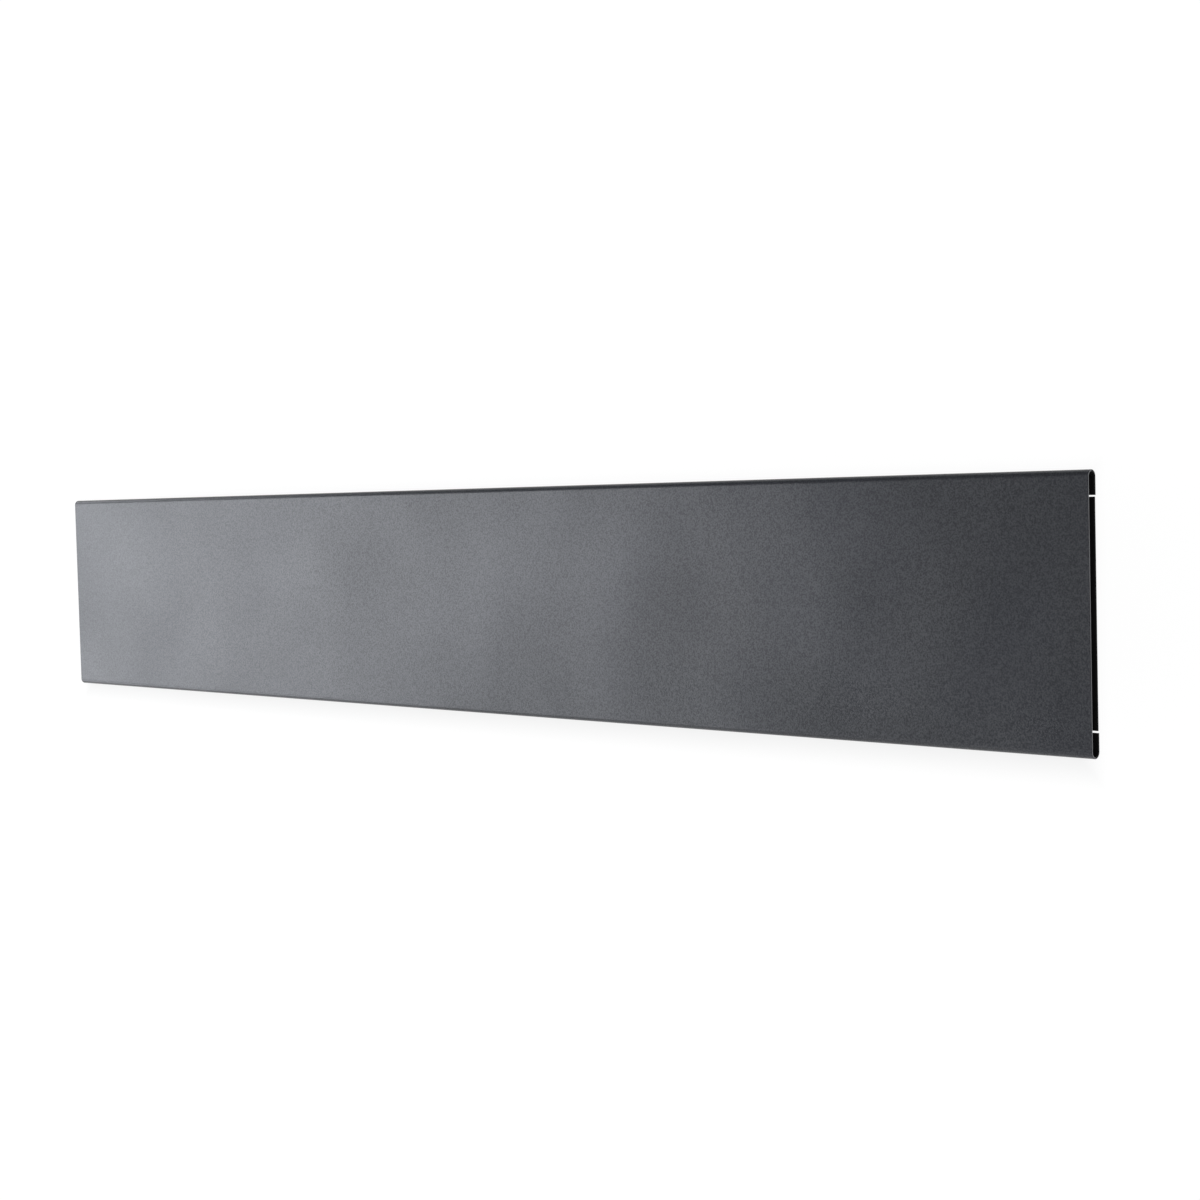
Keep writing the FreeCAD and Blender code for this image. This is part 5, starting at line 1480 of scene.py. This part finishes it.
@dataclass
class CableGland:
    """The cable gland under the switch: a ribbed dome nut over the seal and the body."""

    wall: float = 2.4
    lip: float = 2.3
    bend: float = 2.2
    bend_steps: int = 8
    mouth_radius: float = 4.4
    facets: int = 64
    ribs: int = 20
    rib_radius: float = 0.8
    rib_length: float = 7.0
    rib_start: float = 0.4
    rib_sides: int = 10
    seed: int = 2

    def dome(self) -> bpy.types.Object:
        """Turn the dome nut without its ribs.

        Returns:
            The nut.
        """
        low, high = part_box("gland_dome")
        outer = (high.z - low.z) / 2 - self.rib_radius * MM / 2
        well, mouth = (high.z - low.z) / 2 - self.wall * MM, self.mouth_radius * MM
        bend = self.bend * MM
        chamfer = bend / 6
        shelf = high.x - self.lip * MM
        rings = [(shelf, mouth, 0.0), (shelf, well, 0.0), (low.x, well, 0.0),
                 (low.x, outer - chamfer, 0.0), (low.x + chamfer, outer, 0.0)]
        for step in range(self.bend_steps + 1):
            angle = math.pi / 2 * step / self.bend_steps
            rings.append((high.x - bend + bend * math.sin(angle),
                          outer - bend + bend * math.cos(angle), 0.0))
        rings += [(high.x, mouth + chamfer, 0.0), (high.x - chamfer, mouth, 0.0)]
        middle = (low + high) / 2
        mesh = turned("dome_nut", rings, middle.y, middle.z, self.facets, closed=True)
        return place("dome_nut", mesh, CONTROL_PLASTIC)

    def grips(self) -> bpy.types.Object:
        """Grow the grip ribs round the dome nut.

        Returns:
            The ribs.
        """
        low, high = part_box("gland_dome")
        recipe = Recipe("Grip ribs", {
            "Count": self.ribs, "Sweep": 2 * math.pi * (1 - 1 / self.ribs),
            "Rib Radius": self.rib_radius * MM,
            "Radius": (high.z - low.z) / 2 - self.rib_radius * MM, "Length": self.rib_length * MM,
            "Seed": self.seed})
        tree, size = recipe.tree, recipe.inputs
        bar = add(tree, "GeometryNodeMeshCylinder", {
            "Vertices": self.rib_sides, "Side Segments": 1, "Radius": size["Rib Radius"],
            "Depth": size["Length"]})
        lying = add(tree, "GeometryNodeTransform", {
            "Geometry": bar, "Rotation": (0.0, math.pi / 2, 0.0)})
        points, outward = recipe.ring(size["Count"], size["Sweep"], size["Radius"])
        recipe.close([add(tree, "GeometryNodeInstanceOnPoints", {
            "Points": points, "Instance": lying, "Rotation": outward})])
        x = low.x + (self.rib_length / 2 + self.rib_start) * MM
        centre = (x, (low.y + high.y) / 2, (low.z + high.z) / 2)
        return recipe.grow("grip_ribs", [centre], CONTROL_PLASTIC)

    def dress(self) -> None:
        """Settle the dome nut and finish what it clamps."""
        settle(self.dome(), "heater", "control_plastic", "gland_dome")
        settle(self.grips(), "heater", "control_plastic", "gland_dome")
        dress(CONTROL_PLASTIC, "gland_body", "gland_locknut")
        dress(NITRILE, "gland_seal")


class WallMount:
    """The two wall uprights with their crossbar, pivot pins and spring clips."""

    def dress(self) -> None:
        """Plate the uprights and blue the clips."""
        dress(ZINC_PLATE, "left_wall_upright", "right_wall_upright")
        dress(ZINC_STRIP, "wall_crossbar")
        dress(ZINC_FIXING, "pivot_pins")
        dress(SPRING_STEEL, "spring_clips")


@dataclass(frozen=True)
class SoftLight:
    """A flat lamp that faces the heater.

    Attributes:
        name: The lamp's name.
        place: Its middle.
        width: Its width.
        height: Its height.
        radiance: How bright it looks, where 1 is white.
        aim: The point that it faces.
        colour: Its colour.
    """

    name: str
    place: Point
    width: float
    height: float
    radiance: float
    aim: Point = (0.0, -0.084, 0.0)
    colour: str = "#f6f9ff"

    def hang(self) -> None:
        """Hang the lamp, with its power worked from how bright it looks."""
        light = bpy.data.lights.new(self.name, "AREA")
        light.shape = "RECTANGLE"
        light.color = linear(self.colour)[:3]
        light.size, light.size_y = self.width, self.height
        light.energy = self.radiance * math.pi * self.width * self.height
        hung = bpy.data.objects.new(self.name, light)
        bpy.context.scene.collection.objects.link(hung)
        hung.location = self.place
        ahead = Vector(self.aim) - Vector(self.place)
        hung.rotation_euler = ahead.to_track_quat("-Z", "Y").to_euler()
        hung.visible_camera = False


@dataclass
class Studio:
    """A white room with even fill, a soft box with cards below and above, a wall and a floor.

    Attributes:
        fill: Light on matt surfaces from all round.
        ceiling_fill: The same from straight above.
        fill_rise: Heights of the sky between which the fill changes.
        front: How bright the room in front of the heater looks in gloss.
        ceiling: How bright the ceiling looks there.
        front_rise: Heights of the sky between which that changes.
        back_span: Depths of the sky between which the front turns to the white back.
        ground: How bright the ground looks in gloss.
        ground_fall: Heights of the sky between which the ground begins.
        lights: The lamps.
        wall_glow: White that the wall and the floor have of themselves.
        wall_white: White that they take from the light.
        wall_gap: Distance of the wall behind the heater.
        wall_half: Half of the wall's width and height.
        shade_middle: Middle of the soft painted shadow on the wall, along X and Z.
        shade_half: Half of its width and height, without its soft rim.
        shade_reach: Width of its rim.
        shade_depth: How much of the white the painted shadow takes.
        floor_level: Height of the floor.
        floor_span: Nearest and furthest edge of the floor along Y.
        floor_colour: The floor's colour.
    """

    fill: float = 0.5
    ceiling_fill: float = 0.3
    fill_rise: Span = (0.1, 0.8)
    front: float = 0.22
    ceiling: float = 0.0
    front_rise: Span = (0.05, 0.35)
    back_span: Span = (-0.15, 0.1)
    ground: float = 1.0
    ground_fall: Span = (-0.15, -0.55)
    lights: tuple[SoftLight, ...] = (
        SoftLight("soft_box", (-2.57, -1.82, 0.13), 2.0, 1.64, 6.3),
        SoftLight("low_card", (-2.05, -1.35, -1.1), 1.9, 0.9, 4.2),
        SoftLight("high_strip", (-2.7, -0.45, 1.2), 1.0, 0.6, 4.0))
    wall_glow: float = 0.985
    wall_white: float = 0.04
    wall_gap: float = 0.001
    wall_half: Span = (6.0, 4.0)
    shade_middle: Span = (-0.087, -0.0137)
    shade_half: Span = (0.713, 0.0983)
    shade_reach: float = 0.04
    shade_depth: float = 0.14
    floor_level: float = -1.3
    floor_span: Span = (-0.9, 6.0)
    floor_colour: str = "#e8e8e8"

    def rays(self, tree: Tree) -> tuple[Socket, Node]:
        """Tell rays apart by how they reach a surface.

        Args:
            tree: The tree of the world or of a backdrop.

        Returns:
            The socket that is 1 for the camera's own rays, and the node that is 1 for rays that
            were mirrored or have passed through something clear.
        """
        path = add(tree, "ShaderNodeLightPath").outputs
        sharp = add(tree, "ShaderNodeMath", {
            0: path["Is Glossy Ray"], 1: path["Is Transmission Ray"]}, operation="MAXIMUM")
        return path["Is Camera Ray"], sharp

    def world(self) -> None:
        """Light the room: white to the camera, a studio to gloss and an even fill to the rest."""
        world = bpy.data.worlds.new("white_room")
        bpy.context.scene.world = world
        world.use_nodes = True
        tree = world.node_tree
        tree.nodes.clear()
        seen, sharp = self.rays(tree)
        sky = add(tree, "ShaderNodeTexCoord").outputs["Generated"]
        toward = add(tree, "ShaderNodeSeparateXYZ", {0: sky}).outputs
        before = add(tree, "ShaderNodeMapRange", {
            "Value": toward["Z"], "From Min": self.front_rise[0], "From Max": self.front_rise[1],
            "To Min": self.front, "To Max": self.ceiling}, interpolation_type="SMOOTHSTEP")
        walls = add(tree, "ShaderNodeMapRange", {
            "Value": toward["Y"], "From Min": self.back_span[0], "From Max": self.back_span[1],
            "To Min": before, "To Max": 1.0}, interpolation_type="SMOOTHSTEP")
        below = add(tree, "ShaderNodeMapRange", {
            "Value": toward["Z"], "From Min": self.ground_fall[0], "From Max": self.ground_fall[1],
            "To Max": self.ground}, interpolation_type="SMOOTHSTEP")
        studio = add(tree, "ShaderNodeMath", {0: walls, 1: below}, operation="MAXIMUM")
        soft = add(tree, "ShaderNodeMapRange", {
            "Value": toward["Z"], "From Min": self.fill_rise[0], "From Max": self.fill_rise[1],
            "To Min": self.fill, "To Max": self.ceiling_fill}, interpolation_type="SMOOTHSTEP")
        even, shown, white = (add(tree, "ShaderNodeBackground", {
            "Color": linear("#ffffff"), "Strength": strength}) for strength in (soft, studio, 1.0))
        mixed = add(tree, "ShaderNodeMixShader", {0: sharp, 1: even, 2: shown})
        whole = add(tree, "ShaderNodeMixShader", {0: seen, 1: mixed, 2: white})
        add(tree, "ShaderNodeOutputWorld", {"Surface": whole})

    def plane(self, name: str, corners: list[Point]) -> bpy.types.Object:
        """Lay one flat backdrop with an empty material.

        Args:
            name: Its name and its material's.
            corners: Its corners, so that its face looks towards the object.

        Returns:
            The backdrop.
        """
        mesh = bpy.data.meshes.new(name)
        mesh.from_pydata(corners, [], [tuple(range(len(corners)))])
        material = bpy.data.materials.new(name)
        material.use_nodes = True
        material.node_tree.nodes.clear()
        mesh.materials.append(material)
        sheet = place(name, mesh)
        return sheet

    def white(self, tree: Tree, glow: float | Node) -> Node:
        """Mix a white that still takes a soft shade.

        Args:
            tree: The backdrop's material tree.
            glow: How much of its white it has of itself.

        Returns:
            The shader.
        """
        return add(tree, "ShaderNodeAddShader", {
            0: add(tree, "ShaderNodeEmission", {"Strength": glow}),
            1: add(tree, "ShaderNodeBsdfDiffuse", {"Color": (self.wall_white,) * 3 + (1.0,)})})

    def face(self, tree: Tree, surface: Node) -> None:
        """Show a surface on a backdrop's face and nothing from its back.

        Args:
            tree: The backdrop's material tree.
            surface: The shader of its face.
        """
        back = add(tree, "ShaderNodeNewGeometry").outputs["Backfacing"]
        clear = add(tree, "ShaderNodeBsdfTransparent")
        add(tree, "ShaderNodeOutputMaterial", {
            "Surface": add(tree, "ShaderNodeMixShader", {0: back, 1: surface, 2: clear})})

    def shade(self, tree: Tree) -> Node:
        """Paint a soft shadow on the wall round the panel, more below it than above.

        Args:
            tree: The wall's material tree.

        Returns:
            The node that gives the wall's glow, with the painted shadow in it.
        """
        spot = add(tree, "ShaderNodeTexCoord").outputs["Object"]
        at = add(tree, "ShaderNodeSeparateXYZ", {0: spot}).outputs
        past = []
        for axis, middle, half in zip("XZ", self.shade_middle, self.shade_half):
            offset = add(tree, "ShaderNodeMath", {0: at[axis], 1: middle}, operation="SUBTRACT")
            away = add(tree, "ShaderNodeMath", {0: offset}, operation="ABSOLUTE")
            past.append(add(tree, "ShaderNodeMath", {0: away, 1: half}, operation="SUBTRACT"))
        outside = add(tree, "ShaderNodeMath", {0: past[0], 1: past[1]}, operation="MAXIMUM")
        return add(tree, "ShaderNodeMapRange", {
            "Value": outside, "From Max": self.shade_reach,
            "To Min": self.wall_glow - self.shade_depth, "To Max": self.wall_glow},
            interpolation_type="SMOOTHSTEP")

    def wall(self) -> None:
        """Set the white wall behind, with a soft painted shadow round the heater."""
        x, z = self.wall_half
        y = self.wall_gap
        sheet = self.plane("white_wall", [(-x, y, -z), (x, y, -z), (x, y, z), (-x, y, z)])
        tree = sheet.data.materials[0].node_tree
        # The wall's glow carries the painted shadow round the heater.
        self.face(tree, self.white(tree, self.shade(tree)))
        for ray in ("diffuse", "glossy", "transmission", "shadow"):
            setattr(sheet, f"visible_{ray}", False)

    def floor(self) -> None:
        """Lay the pale floor well below."""
        x, z = self.wall_half[0], self.floor_level
        near, far = self.floor_span
        sheet = self.plane("pale_floor", [(-x, near, z), (x, near, z), (x, far, z), (-x, far, z)])
        tree = sheet.data.materials[0].node_tree
        direct, sharp = self.rays(tree)
        seen = add(tree, "ShaderNodeMath", {0: sharp, 1: direct}, operation="MAXIMUM")
        pale = add(tree, "ShaderNodeBsdfDiffuse", {"Color": linear(self.floor_colour)})
        white = self.white(tree, self.wall_glow)
        self.face(tree, add(tree, "ShaderNodeMixShader", {0: seen, 1: pale, 2: white}))

    def build(self) -> None:
        """Set up the whole room."""
        bpy.context.scene.view_settings.view_transform = "Standard"
        self.world()
        for light in self.lights:
            light.hang()
        self.wall()
        self.floor()


@dataclass
class PhotoCamera:
    """The camera of the photograph: from the right and a little above, and slightly rolled."""

    place: Point = (1.5867, -1.5133, 0.0989)
    azimuth_deg: float = 44.508
    fall_deg: float = 2.72
    roll_deg: float = -1.475
    lens_mm: float = 65.29
    sensor_mm: float = 36.0
    clip: Span = (0.01, 50.0)

    def build(self) -> None:
        """Set the camera up and make it the scene's own."""
        data = bpy.data.cameras.new("photo_camera")
        data.lens, data.sensor_width = self.lens_mm, self.sensor_mm
        data.clip_start, data.clip_end = self.clip
        camera = bpy.data.objects.new("photo_camera", data)
        bpy.context.scene.collection.objects.link(camera)
        azimuth, fall, roll = (
            math.radians(angle) for angle in (self.azimuth_deg, self.fall_deg, self.roll_deg))
        ahead = Vector((-math.sin(azimuth) * math.cos(fall), math.cos(azimuth) * math.cos(fall),
                        -math.sin(fall)))
        right = Vector((math.cos(azimuth), math.sin(azimuth), 0.0))
        up = right.cross(ahead)
        across = right * math.cos(roll) + up * math.sin(roll)
        upright = up * math.cos(roll) - right * math.sin(roll)
        turn = Matrix((across, upright, -ahead)).transposed().to_4x4()
        camera.matrix_world = Matrix.Translation(self.place) @ turn
        bpy.context.scene.camera = camera


def main() -> None:
    """Build every sub-assembly and the room round it."""
    logging.basicConfig(level=logging.INFO, format="%(message)s")
    for part in (PanelShell(), PanelFixings(), CasingShell(), HeatingElement(), ControlBox(),
                 Thermostat(), RockerSwitch(), PilotLamp(), CableGland(), WallMount()):
        part.dress()
    Studio().build()
    PhotoCamera().build()


if __name__ == "__main__":
    main()
